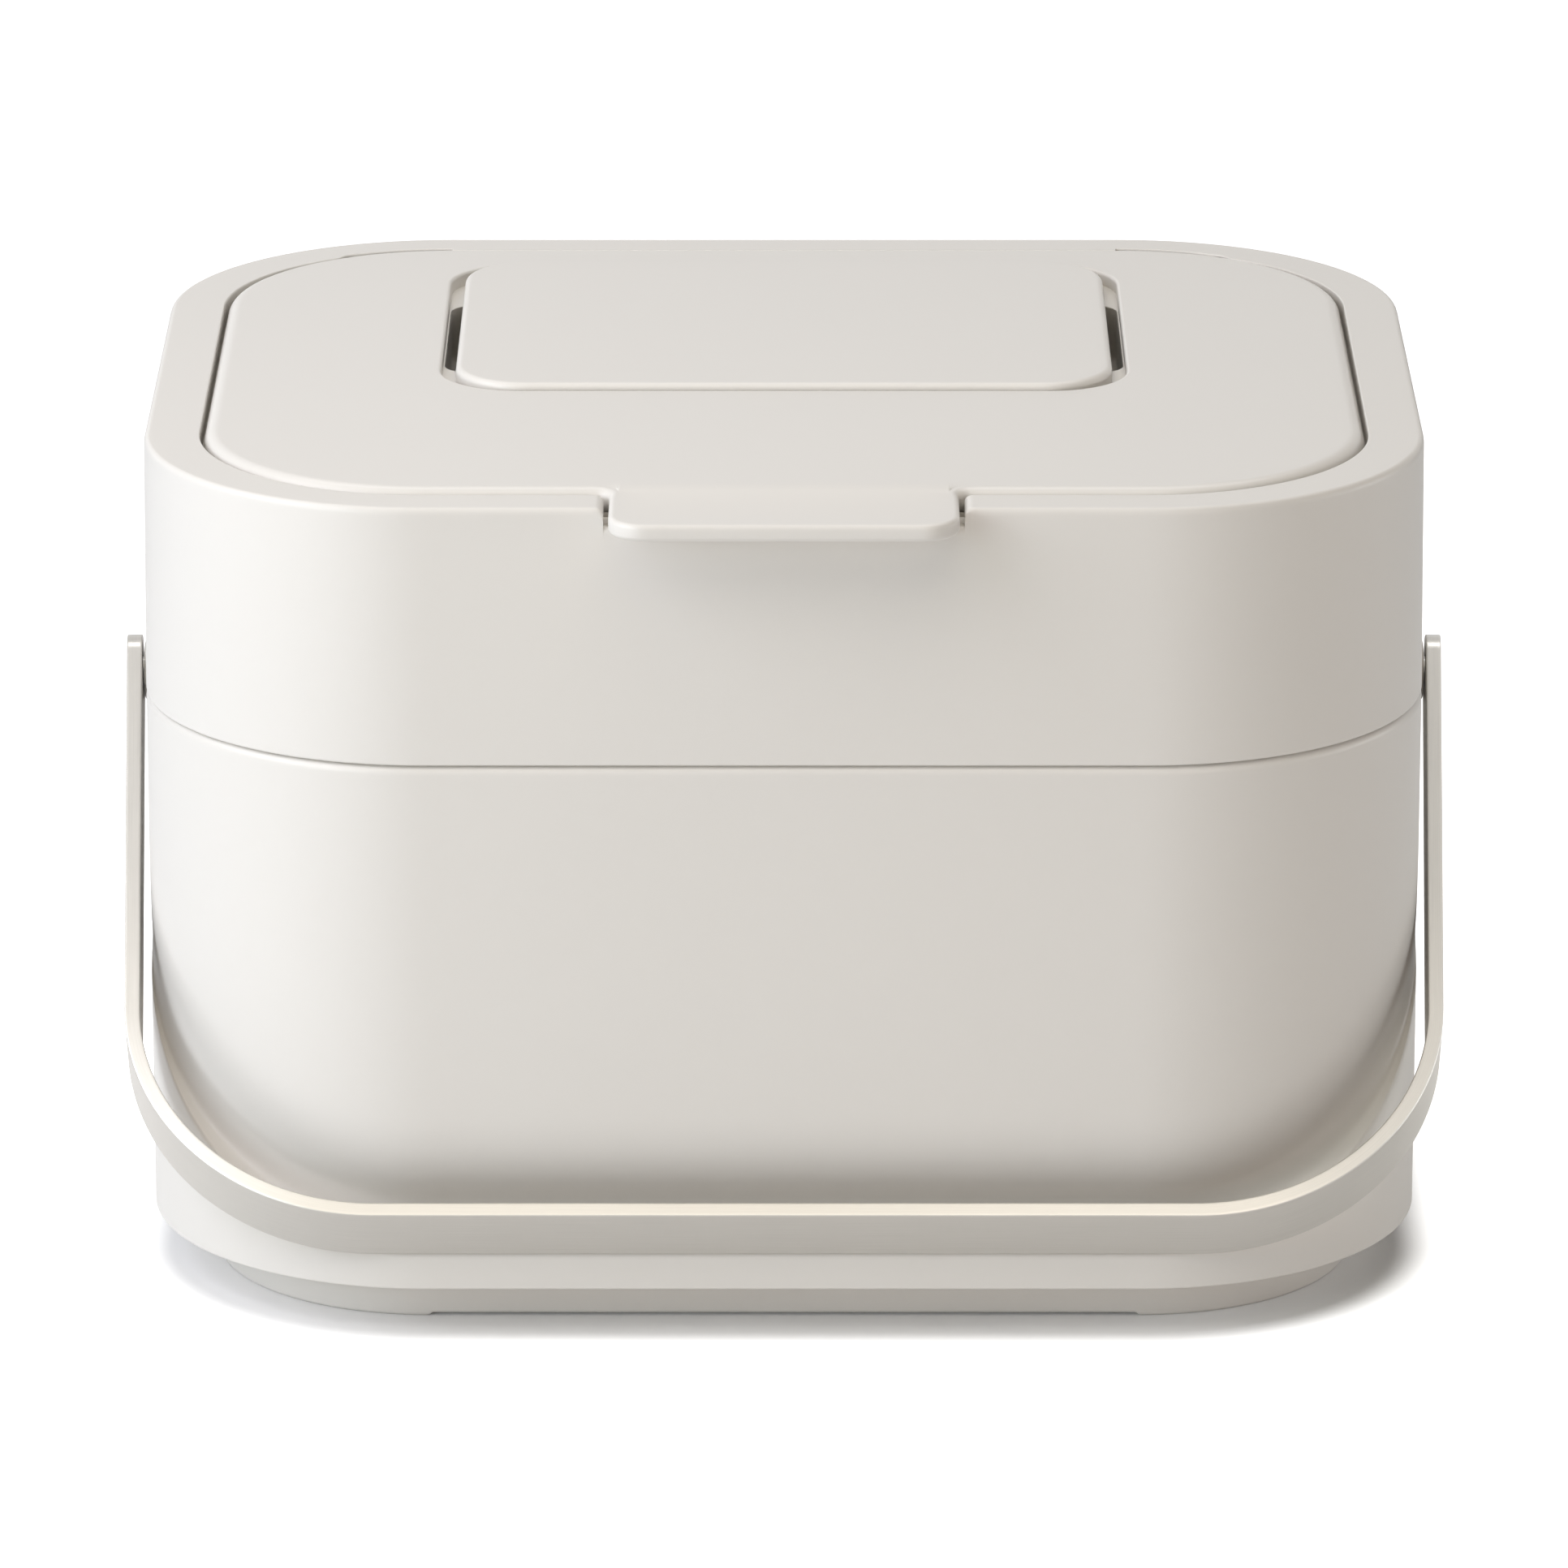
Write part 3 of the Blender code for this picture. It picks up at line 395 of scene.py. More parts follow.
def turned(name, profile, y, z, columns=48, closed=False):
    """A turned piece on an axis along X: the profile is (place along X, radius).

    Each profile point becomes a circle (radius * cos, radius * sin) in Y and Z.
    """
    angle = np.linspace(0.0, 2 * np.pi, columns, endpoint=False)
    x = np.broadcast_to(profile[:, :1], (len(profile), columns))
    radius = profile[:, 1:]
    circles = lift(x, y + radius * np.cos(angle), z + radius * np.sin(angle))
    return skin(name, circles, closed=closed)


def combine(piece, tools, operation="DIFFERENCE", keep=38.0):
    """Cut the tools out of the piece, or join them to it, for good, and clear them away."""
    for tool in tools:
        step = piece.modifiers.new(tool.name, "BOOLEAN")
        step.operation = operation
        step.object = tool
        step.solver = "EXACT"
    bpy.context.view_layer.update()
    finished = bpy.data.meshes.new_from_object(
        piece.evaluated_get(bpy.context.evaluated_depsgraph_get())
    )
    piece.modifiers.clear()
    piece.data = finished
    finished.shade_smooth()
    finished.set_sharp_from_angle(angle=math.radians(keep))
    for tool in tools:
        bpy.data.objects.remove(tool, do_unlink=True)


def axis_rods(name, radius, near_x, far_x):
    """A plain rod on the hinge axis at each side, as a cutter, between two places along X."""
    path = np.array([(near_x, radius), (far_x, radius)])
    right = turned(f"{name}_right", path, HINGE_Y, HINGE_Z, 32)
    left = turned(f"{name}_left", path[::-1] * (-1, 1), HINGE_Y, HINGE_Z, 32)
    return [right, left]


combine(collar, axis_rods("socket", SOCKET_RADIUS, *SOCKET_X))
collar.data.materials.append(stone_plastic)
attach(collar, "collar")
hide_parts("collar")

# The lid: a bullnosed flap moulded in one with its finger tab, with a shallow recess for the
# filter cover and a deep slotted pocket for the carbon pad. It swings on two short steel pins.
LID_TOP = 188.9
LID_HALF = (126.5, 101.8)
LID_CORNER = 49.1
LID_ROUND = 3.1
TAB_HALF = 37.3
TAB_TIP = -128.7
TAB_CORNER = 8.0
TAB_FLARE = 2.6
TAB_ROUND = 1.2
TAB_THICK = 3.8
TAB_STEP = 0.3
TAB_ROOT_X = (28.0, 34.6, 36.0)
FLARE_STEPS = 14
FRONT_COLUMNS_X = (45.0, 52.0, 60.0, 68.0, 75.0)
CORNER_COLUMNS = 33
SIDE_COLUMNS = 9
BACK_COLUMNS = 8
ROOT_LINE = -102.4
UNDER_ROOT_LINE = -99.0
LID_FRAME = 6.0
LID_DEEP = 6.2
LID_SKIN = 2.4
LID_EDGE_INSIDE = 6.6
RECESS_MIDDLE = 32.5
RECESS_HALF = (76.2, 54.7)
RECESS_CORNER = 17.6
RECESS_DEEP = 3.0
RECESS_ROUND = 0.8
POCKET_HALF = (75.9, 29.0)
POCKET_CORNER = 6.0
POCKET_DEEP = 15.0
POCKET_WALL = 1.8
RUN_SPAN = (77.1, 52.7)
PIN_RADIUS = 0.8
PIN_X = (87.27, 104.2)
END_MIDDLE = 0.02
LID_BORE_X = (86.9, 98.0)
VENT_COUNT = 11
VENT_PITCH = 12.36
VENT_SIZE = (3.5, 44.0)
VENT_SIDES = 24
VENT_CUT = (LID_TOP - 20.0, LID_TOP - 13.0)
FIXING_STEEL = (0.60, 0.585, 0.555)


def lid_outline():
    """The lid's outline with its tab, from the front's middle round the right side to the back.

    Straight runs and quarter circles follow one another. It gives each column's place and the
    direction it faces, then how many columns come before the tab's side, and how many are on
    it.
    """
    quarter = np.radians(np.linspace(-90.0, 0.0, CORNER_COLUMNS))
    small = np.radians(np.linspace(-90.0, 0.0, 17))
    flare = np.radians(np.linspace(180.0, 90.0, FLARE_STEPS + 1))
    corner_x = LID_HALF[0] - LID_CORNER
    corner_y = LID_HALF[1] - LID_CORNER
    front = -LID_HALF[1]
    tip_x = TAB_HALF - TAB_CORNER
    flare_x = TAB_HALF + TAB_FLARE
    flare_y = front - TAB_FLARE
    edge = np.linspace(0.0, tip_x, 9)[:-1]
    side = np.linspace(TAB_TIP + TAB_CORNER, flare_y, 7)[1:-1]
    run = np.array([flare_x + 0.4, flare_x + 1.0, flare_x + 2.0, *FRONT_COLUMNS_X])
    up = np.linspace(-corner_y, corner_y, SIDE_COLUMNS + 2)[1:-1]
    back = np.linspace(corner_x, 0.0, BACK_COLUMNS + 1)[1:]
    flat = np.zeros_like
    place = np.concatenate([
        np.stack([edge, flat(edge) + TAB_TIP], 1),
        np.stack([tip_x + TAB_CORNER * np.cos(small),
                  TAB_TIP + TAB_CORNER + TAB_CORNER * np.sin(small)], 1),
        np.stack([flat(side) + TAB_HALF, side], 1),
        np.stack([flare_x + TAB_FLARE * np.cos(flare), flare_y + TAB_FLARE * np.sin(flare)], 1),
        np.stack([run, flat(run) + front], 1),
        np.stack([corner_x + LID_CORNER * np.cos(quarter),
                  LID_CORNER * np.sin(quarter) - corner_y], 1),
        np.stack([flat(up) + LID_HALF[0], up], 1),
        np.stack([corner_x + LID_CORNER * np.cos(quarter + np.pi / 2),
                  LID_CORNER * np.sin(quarter + np.pi / 2) + corner_y], 1),
        np.stack([back, flat(back) + LID_HALF[1]], 1),
    ])
    angle = np.concatenate([
        flat(edge) - np.pi / 2, small, flat(side), flare - np.pi, flat(run) - np.pi / 2, quarter,
        flat(up), quarter + np.pi / 2, flat(back) + np.pi / 2,
    ])
    return place, np.stack([np.cos(angle), np.sin(angle)], 1), len(edge) + len(small), len(side)


# How far each column belongs to the tab, 1 on it and 0 past its flare, by a smooth step; and
# where each column runs to at the tab's root, so that the tab's top meets the lid in a line.
half_place, half_out, side_start, side_count = lid_outline()
flare_start = side_start + side_count
flare_end = flare_start + FLARE_STEPS
step_length = np.hypot(*np.diff(half_place, axis=0).T)
along = np.concatenate([[0.0], np.cumsum(step_length)])
flare_length = along[flare_end] - along[flare_start]
tab_share = np.clip((along[flare_end] + 1.5 - along) / (flare_length + 3.0), 0, 1)
tab_share = tab_share ** 2 * (3 - 2 * tab_share)
root_x = np.interp(
    along,
    [0.0, along[side_start], along[flare_start], along[flare_start + FLARE_STEPS // 2],
     along[flare_end]],
    [0.0, *TAB_ROOT_X, half_place[flare_end, 0]],
)

# Each column's place on a plain outline, as a share of its straight run, and the way it faces.
number = np.arange(len(along))
root_x = np.where(number > flare_end, half_place[:, 0], root_x)
on_front = number < len(along) - BACK_COLUMNS - 2 * CORNER_COLUMNS - SIDE_COLUMNS
plain_x = np.where(on_front, root_x / (LID_HALF[0] - LID_CORNER), 1.0)
on_back = number > len(along) - BACK_COLUMNS - 1
plain_x = np.where(on_back, half_place[:, 0] / RUN_SPAN[0], plain_x)
plain_y = np.where(half_place[:, 1] > RUN_SPAN[1] - 0.01, 1.0, half_place[:, 1] / RUN_SPAN[1])
plain_y = np.where(half_place[:, 1] < 0.01 - RUN_SPAN[1], -1.0, plain_y)
plain_angle = np.where(on_front, -np.pi / 2, np.arctan2(half_out[:, 1], half_out[:, 0]))


def both_sides(values, flip=False):
    """Carry a row of values for the right half on to the left half, mirrored where asked."""
    mirrored = values[-2:0:-1]
    return np.concatenate([values, -mirrored if flip else mirrored])


lid_x = both_sides(half_place[:, 0], True)
lid_y = both_sides(half_place[:, 1])
out_x = both_sides(half_out[:, 0], True)
out_y = both_sides(half_out[:, 1])
tabbed = both_sides(tab_share)
root_x = both_sides(root_x, True)
plain_u = both_sides(plain_x, True)
plain_v = both_sides(plain_y)
plain_cos = both_sides(np.cos(plain_angle), True)
plain_sin = both_sides(np.sin(plain_angle))


def panel_loop(half_x, half_y, radius, middle_y, height):
    """One ring of a plain round-cornered rectangle, on the lid's own columns."""
    x = plain_u * (half_x - radius) + radius * plain_cos
    y = plain_v * (half_y - radius) + radius * plain_sin
    return lift(x, y + middle_y, height)


def panel_rings(half, radius, middle_y, path):
    """Rings of a plain outline for a path of (inset, height)."""
    return np.array([
        panel_loop(half[0] - inset, half[1] - inset, radius - inset, middle_y, height)
        for inset, height in path
    ])


swing = np.concatenate([np.linspace(-90.0, -5.0, 13), np.linspace(5.0, 90.0, 13)])
swing = np.radians(swing)[:, None]
edge_round = LID_ROUND + (TAB_ROUND - LID_ROUND) * tabbed
edge_top = LID_TOP - TAB_STEP * tabbed
edge_bottom = LID_TOP - 2 * LID_ROUND + (2 * LID_ROUND - TAB_STEP - TAB_THICK) * tabbed
inset = edge_round * (1 - np.cos(swing))
height = np.where(
    swing > 0, edge_top - edge_round + edge_round * np.sin(swing),
    edge_bottom + edge_round + edge_round * np.sin(swing),
)
edge_rings = lift(lid_x - out_x * inset, lid_y - out_y * inset, height)

on_tab = both_sides(number) <= flare_end
held_x = lid_x - out_x * (edge_round + 0.3)
held_y = lid_y - out_y * (edge_round + 0.3)
fore_y = np.maximum(held_y + 0.25, ROOT_LINE)
aft_y = fore_y + 0.55
inner = panel_loop(
    LID_HALF[0] - LID_FRAME, LID_HALF[1] - LID_FRAME, LID_CORNER - LID_FRAME, 0.0, LID_TOP
)
next_x = lid_x - out_x * (edge_round + 0.6)
next_y = lid_y - out_y * (edge_round + 0.6)
last_x = lid_x - out_x * (edge_round + 0.9)
last_y = lid_y - out_y * (edge_round + 0.9)
top_rings = np.array([
    lift(held_x, held_y, edge_top),
    lift(np.where(on_tab, root_x, next_x), np.where(on_tab, fore_y, next_y), edge_top),
    lift(np.where(on_tab, root_x, last_x), np.where(on_tab, aft_y, last_y), LID_TOP),
    inner,
])
under_y = np.maximum(held_y + 0.1, UNDER_ROOT_LINE)
under_x = np.where(on_tab, root_x, next_x)
under_rings = np.array([
    lift(under_x, np.where(on_tab, under_y + 0.3, next_y), LID_TOP - LID_DEEP),
    lift(np.where(on_tab, root_x, held_x), np.where(on_tab, under_y, held_y), edge_bottom),
])
rib_path = rounded_path([
    (LID_EDGE_INSIDE - 1.6, LID_TOP - LID_DEEP, 0), (LID_EDGE_INSIDE, LID_TOP - LID_DEEP, 0.5),
    (LID_EDGE_INSIDE, LID_TOP - LID_SKIN, 0.6), (LID_EDGE_INSIDE + 2.4, LID_TOP - LID_SKIN, 0),
])
pan_bottom = LID_TOP - RECESS_DEEP - POCKET_WALL
pan_path = rounded_path([
    (-2.6, LID_TOP - LID_SKIN, 0), (-POCKET_WALL, LID_TOP - LID_SKIN, 0.5),
    (-POCKET_WALL, pan_bottom, 0.6), (-0.4, pan_bottom, 0),
])
well_bottom = LID_TOP - POCKET_DEEP - POCKET_WALL
well_path = rounded_path([
    (-1.95, pan_bottom, 0), (-POCKET_WALL, pan_bottom, 0.1), (-POCKET_WALL, well_bottom, 1.2),
    (3.0, well_bottom, 0),
])
recess_path = rounded_path([
    (-2.2, LID_TOP, 0), (0.0, LID_TOP, RECESS_ROUND), (0.0, LID_TOP - RECESS_DEEP, 0),
    (0.02, LID_TOP - RECESS_DEEP, 0),
], steps=8)
pocket_path = rounded_path([
    (-0.2, LID_TOP - RECESS_DEEP, 0), (0.0, LID_TOP - RECESS_DEEP, 0.15),
    (0.0, LID_TOP - POCKET_DEEP, 1.2), (4.0, LID_TOP - POCKET_DEEP, 0),
])
lid = skin("lid_shell", np.concatenate([
    panel_rings(POCKET_HALF, POCKET_CORNER, RECESS_MIDDLE, well_path[::-1]),
    panel_rings(RECESS_HALF, RECESS_CORNER, RECESS_MIDDLE, pan_path[::-1]),
    panel_rings(LID_HALF, LID_CORNER, 0.0, rib_path[::-1]),
    under_rings, edge_rings, top_rings,
    panel_rings(RECESS_HALF, RECESS_CORNER, RECESS_MIDDLE, recess_path),
    panel_rings(POCKET_HALF, POCKET_CORNER, RECESS_MIDDLE, pocket_path),
]))


def slots(count, pitch, width, length, low, high, middle_y):
    """Round-ended slots side by side, as one cutter: stadium outlines pulled from low to high.

    A stadium's point is its half width times (cos, sin), moved out by half the straight length.
    """
    angle = np.linspace(0.0, 2 * np.pi, VENT_SIDES, endpoint=False) + np.pi / VENT_SIDES
    x = width / 2 * np.cos(angle)
    y = width / 2 * np.sin(angle) + np.sign(np.sin(angle)) * (length - width) / 2
    across = (np.arange(count) - (count - 1) / 2) * pitch
    ring = np.stack([np.stack([x, y + middle_y + BODY_MIDDLE_Y], 1)] * count)
    ring[:, :, 0] += across[:, None]
    low_ring = np.dstack([ring, np.full(ring.shape[:2], low)])
    high_ring = np.dstack([ring, np.full(ring.shape[:2], high)])
    index = np.arange(2 * count * VENT_SIDES).reshape(2, count, VENT_SIDES)
    walls = np.stack([index[0], np.roll(index[0], -1, 1), np.roll(index[1], -1, 1), index[1]], -1)
    faces = walls.reshape(-1, 4).tolist() + index[0][:, ::-1].tolist() + index[1].tolist()
    mesh = bpy.data.meshes.new("slots")
    mesh.from_pydata(np.concatenate([low_ring, high_ring]).reshape(-1, 3) * MM, [], faces)
    cutter = bpy.data.objects.new("slots", mesh)
    bpy.context.scene.collection.objects.link(cutter)
    return cutter


vents = slots(VENT_COUNT, VENT_PITCH, *VENT_SIZE, *VENT_CUT, RECESS_MIDDLE)
combine(lid, [vents] + axis_rods("bore", SOCKET_RADIUS, *LID_BORE_X))
lid_plastic = moulded_plastic("lid_plastic", STONE, 0.35, 0.8)
lid.data.materials.append(lid_plastic)
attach(lid, "lid")
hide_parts("lid")


def satin_steel(name, colour, roughness):
    """Turned or headed steel: bright metal with a faint cloudiness in its polish."""
    material, nodes, links, shader = start_material(name)
    shader.inputs["Base Color"].default_value = (*colour, 1.0)
    shader.inputs["Metallic"].default_value = 1.0
    place = nodes.new("ShaderNodeTexCoord")
    cloud = nodes.new("ShaderNodeTexNoise")
    cloud.inputs["Scale"].default_value = 900.0
    links.new(place.outputs["Object"], cloud.inputs["Vector"])
    spread = nodes.new("ShaderNodeMapRange")
    spread.inputs["To Min"].default_value = roughness - 0.06
    spread.inputs["To Max"].default_value = roughness + 0.06
    links.new(cloud.outputs["Fac"], spread.inputs["Value"])
    links.new(spread.outputs["Result"], shader.inputs["Roughness"])
    return material


fixing_steel = satin_steel("fixing_steel", FIXING_STEEL, 0.3)
pin_path = rounded_path([
    (PIN_X[0], END_MIDDLE, 0), (PIN_X[0], PIN_RADIUS, 0.2), (PIN_X[1], PIN_RADIUS, 0.2),
    (PIN_X[1], END_MIDDLE, 0),
], steps=3, hold=0.1)
for side, label in ((-1, "left"), (1, "right")):
    path = pin_path * (side, 1)
    pin = turned(f"hinge_pin_{label}", path if side > 0 else path[::-1], HINGE_Y, HINGE_Z, 32)
    pin.data.materials.append(fixing_steel)
    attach(pin, "lid")
    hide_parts(f"lid_pin_{label}")

# The filter cover: a plain lift-off panel in the lid's plastic, soft at its top edge, which
# drops into the recess. Two ribs under it locate it between the ends of the pocket.
COVER_HALF = (73.0, 53.65)
COVER_CORNER = 16.0
COVER_TOP = 190.1
COVER_ROUND = 1.5
COVER_BOTTOM = 186.2
COVER_FLAT = 6.0
RIB_HALF = (52.0, 0.9)
RIB_PLACE = 27.8
RIB_BOTTOM = 182.7
COLUMN_SPAN = (77.1, 51.9)
CORNER_SIGNS = ((1, 1), (-1, 1), (-1, -1), (1, -1))

cover_path = rounded_path([
    (COVER_FLAT, COVER_BOTTOM, 0), (0.0, COVER_BOTTOM, 0.4), (0.0, COVER_TOP, COVER_ROUND),
    (COVER_FLAT, COVER_TOP, 0),
], steps=9)
# The cover is on the body's columns, with their straight runs shortened to its own.
cover_rings = []
for inset_step, height_step in cover_path:
    x, y = body_loop(
        COVER_HALF[0] - inset_step, COVER_HALF[1] - inset_step, COVER_CORNER - inset_step
    )
    x = np.where(sign_x == 0, run_x / COLUMN_SPAN[0] * (COVER_HALF[0] - COVER_CORNER), x)
    y = np.where(sign_y == 0, run_y / COLUMN_SPAN[1] * (COVER_HALF[1] - COVER_CORNER), y)
    cover_rings.append(lift(x, y + RECESS_MIDDLE, height_step))
cover = skin("cover_panel", np.array(cover_rings))


def small_loop(half_x, half_y, radius, steps=5):
    """Outline of a small round-cornered rectangle, anticlockwise, with a few points a corner."""
    quarter = np.linspace(0.0, np.pi / 2, steps)
    x, y = [], []
    for number, (side_x, side_y) in enumerate(CORNER_SIGNS):
        x.append(side_x * (half_x - radius) + radius * np.cos(quarter + number * np.pi / 2))
        y.append(side_y * (half_y - radius) + radius * np.sin(quarter + number * np.pi / 2))
    return np.concatenate(x), np.concatenate(y)


cover_rib_path = rounded_path([
    (0.7, RIB_BOTTOM, 0), (0.0, RIB_BOTTOM, 0.4), (0.0, COVER_BOTTOM + 1.0, 0),
], steps=3, hold=0.1)
ribs = []
for end in (-1, 1):
    rings = []
    for inset_step, height_step in cover_rib_path:
        x, y = small_loop(RIB_HALF[0] - inset_step, RIB_HALF[1] - inset_step, 0.2)
        rings.append(lift(x, y + RECESS_MIDDLE + end * RIB_PLACE, height_step))
    ribs.append(skin(f"cover_rib_{end}", np.array(rings)))
combine(cover, ribs, "UNION")
cover.data.materials.append(lid_plastic)
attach(cover, "cover")
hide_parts("filter_cover")

# The carbon pad: a block of black open-cell foam cut to the pocket, lying on the vent slots
# under the cover. Its faces are pitted with open cells.
PAD_HALF = (68.0, 28.0)
PAD_LOW = 174.2
PAD_HIGH = 181.7
PAD_ROUND = 1.3
PAD_COLUMNS = 260
PAD_STEPS = 14
PAD_FACE_INSETS = (24.0, 4.5)
PAD_HELD = 3.0
CARBON = (0.028, 0.028, 0.03)

pad_path = rounded_path([
    (PAD_HELD, PAD_LOW, 0), (0.0, PAD_LOW, PAD_ROUND), (0.0, PAD_HIGH, PAD_ROUND),
    (PAD_HELD, PAD_HIGH, 0),
])
pad_face = np.linspace(*PAD_FACE_INSETS, PAD_STEPS)
pad_path = np.concatenate([
    np.column_stack([pad_face, np.full(PAD_STEPS, PAD_LOW)]), pad_path,
    np.column_stack([pad_face[::-1], np.full(PAD_STEPS, PAD_HIGH)]),
])
# A column at each angle meets the pad's square side where the ray from its middle does.
round_angle = np.linspace(0.0, 2 * np.pi, PAD_COLUMNS, endpoint=False)
pad_rings = []
for inset_step, height_step in pad_path:
    half_x = PAD_HALF[0] - inset_step
    half_y = PAD_HALF[1] - inset_step
    reach = 1.0 / np.maximum(
        np.abs(np.cos(round_angle)) / half_x, np.abs(np.sin(round_angle)) / half_y
    )
    x = reach * np.cos(round_angle)
    y = reach * np.sin(round_angle)
    pad_rings.append(lift(x, y + RECESS_MIDDLE, height_step))
pad = skin("carbon_pad", np.array(pad_rings), sharp=60.0)


def open_foam(name, colour):
    """Open-cell foam: near-black, dull, with round cells sunk about half a millimetre and painted
    shade in them.
    """
    material, nodes, links, shader = start_material(name)
    shader.inputs["Roughness"].default_value = 0.95
    place = nodes.new("ShaderNodeTexCoord")
    cells = nodes.new("ShaderNodeTexVoronoi")
    cells.inputs["Scale"].default_value = 900.0
    links.new(place.outputs["Object"], cells.inputs["Vector"])
    # Painted shade: the ramp darkens each cell where it is sunk deepest and lightens it towards
    # its rim.
    shade = nodes.new("ShaderNodeValToRGB")
    shade.color_ramp.elements[0].color = (*[0.3 * part for part in colour], 1.0)
    shade.color_ramp.elements[0].position = 0.15
    shade.color_ramp.elements[1].color = (*[1.8 * part for part in colour], 1.0)
    shade.color_ramp.elements[1].position = 0.6
    links.new(cells.outputs["Distance"], shade.inputs["Fac"])
    links.new(shade.outputs["Color"], shader.inputs["Base Color"])
    bump = nodes.new("ShaderNodeBump")
    bump.inputs["Strength"].default_value = 0.9
    bump.inputs["Distance"].default_value = 0.0004
    links.new(cells.outputs["Distance"], bump.inputs["Height"])
    links.new(bump.outputs["Normal"], shader.inputs["Normal"])
    return material


pad.data.materials.append(open_foam("carbon_foam", CARBON))
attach(pad, "lid")
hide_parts("filter_pad")

# The handle: a flat strip of stainless steel, brushed along its length and bent to a U, with
# rounded ends. A countersunk shoulder rivet holds each arm, and the strip turns on it.
STRIP_HALF = (1.7, 7.8)
STRIP_EDGE = 0.32
ARM_FACE = 147.4
REACH = 150.6
BEND = 55.5
LEAN = math.radians(1.7)
ARM_STEPS = 10
BEND_STEPS = 49
GRIP_STEPS = 5
RIVET_SUNK = 0.4
RIVET_FACE = ARM_FACE - RIVET_SUNK
RIVET_HEAD = 5.2
RIVET_SHANK = 3.0
RIVET_HEAD_DEEP = 2.0
RIVET_CLEAR = 0.3
SEAT_CUT_OUT = 6.0
SEAT_CUT_IN = 10.0
STRAP_STEEL = (0.57, 0.55, 0.515)


def strap_path():
    """Middle line of the strip in the handle's plane, for the right half, from its end inwards.

    An arm leans in by the lean angle, a bend of constant radius turns it, and the grip runs
    level to the middle. Each point has the strip's half width, which follows a half circle at
    the arm's end, and the direction its outer face looks.
    """
    bend_start = REACH - BEND * (1 - math.sin(LEAN))
    bend_x = ARM_FACE - math.tan(LEAN) * bend_start - BEND * math.cos(LEAN)
    radius = BEND - STRIP_HALF[0]
    tip = np.radians(np.linspace(4.5, 90.0, 22))
    arm = np.linspace(0.0, bend_start, ARM_STEPS + 2)[1:-1]
    down = np.concatenate([-STRIP_HALF[1] * np.cos(tip), arm])
    half = np.concatenate([STRIP_HALF[1] * np.sin(tip), np.full(ARM_STEPS, STRIP_HALF[1])])
    arm_x = bend_x + radius * math.cos(LEAN) + math.tan(LEAN) * (bend_start - down)
    bend = np.linspace(LEAN, np.pi / 2, BEND_STEPS)
    grip = np.linspace(bend_x, 0.0, GRIP_STEPS + 1)[1:]
    x = np.concatenate([arm_x, bend_x + radius * np.cos(bend), grip])
    out = np.concatenate([
        down, REACH - BEND + radius * np.sin(bend), np.full(GRIP_STEPS, REACH - STRIP_HALF[0]),
    ])
    look = np.concatenate([np.full(len(down), LEAN), bend, np.full(GRIP_STEPS, np.pi / 2)])
    width = np.concatenate([half, np.full(BEND_STEPS + GRIP_STEPS, STRIP_HALF[1])])
    return x, out, look, width


half_x, half_out_v, half_look, half_width = strap_path()
strap_x = np.concatenate([half_x, -half_x[-2::-1]])
strap_out = np.concatenate([half_out_v, half_out_v[-2::-1]])
strap_look = np.concatenate([half_look, np.pi - half_look[-2::-1]])
strap_width = np.concatenate([half_width, half_width[-2::-1]])


def strip_section(half_width_here):
    """The strip's section: a thin rectangle with broken corners and points held by each."""
    corner = np.linspace(0.0, np.pi / 2, 4)
    flat_x = STRIP_HALF[0] - STRIP_EDGE
    flat_y = half_width_here - STRIP_EDGE
    hold = min(0.35, flat_y * 0.4)
    x, y = [], []
    for number, (side_x, side_y) in enumerate(CORNER_SIGNS):
        angle = corner + number * np.pi / 2
        arc_x = side_x * flat_x + STRIP_EDGE * np.cos(angle)
        arc_y = side_y * flat_y + STRIP_EDGE * np.sin(angle)
        lead = side_x * side_y > 0
        first = (side_x * STRIP_HALF[0], side_y * (flat_y - hold))
        second = (side_x * (flat_x - hold), side_y * half_width_here)
        if not lead:
            first, second = second, first
        x.append(np.concatenate([[first[0]], arc_x, [second[0]]]))
        y.append(np.concatenate([[first[1]], arc_y, [second[1]]]))
    return np.concatenate(x), np.concatenate(y)


sections = [strip_section(width_here) for width_here in strap_width]
thick = np.array([section[0] for section in sections])
wide = np.array([section[1] for section in sections])
plane_x = strap_x[:, None] + thick * np.cos(strap_look)[:, None]
plane_out = strap_out[:, None] + thick * np.sin(strap_look)[:, None]
strap_rings = lift(
    plane_x, -math.cos(FOLD) * plane_out - math.sin(FOLD) * wide,
    PIVOT_Z - math.sin(FOLD) * plane_out + math.cos(FOLD) * wide,
)
strap = skin("handle_strip", strap_rings[:, ::-1], sharp=50.0)

# The grain map holds the length along the strip and the way round its section, in metres.
length_along = np.concatenate([[0.0], np.cumsum(np.hypot(np.diff(strap_x), np.diff(strap_out)))])
section_steps = np.hypot(np.diff(thick, axis=1), np.diff(wide, axis=1))
round_section = np.concatenate([
    np.zeros((len(thick), 1)), np.cumsum(section_steps, 1),
], axis=1)[:, ::-1]
grain_place = np.stack([
    np.broadcast_to(length_along[:, None], round_section.shape), round_section,
], axis=-1).reshape(-1, 2) * MM
grain_map = strap.data.uv_layers.new(name="grain")
loop_point = np.empty(len(strap.data.loops), dtype=np.int32)
strap.data.loops.foreach_get("vertex_index", loop_point)
grain_map.data.foreach_set("uv", grain_place[loop_point].astype(np.float32).ravel())

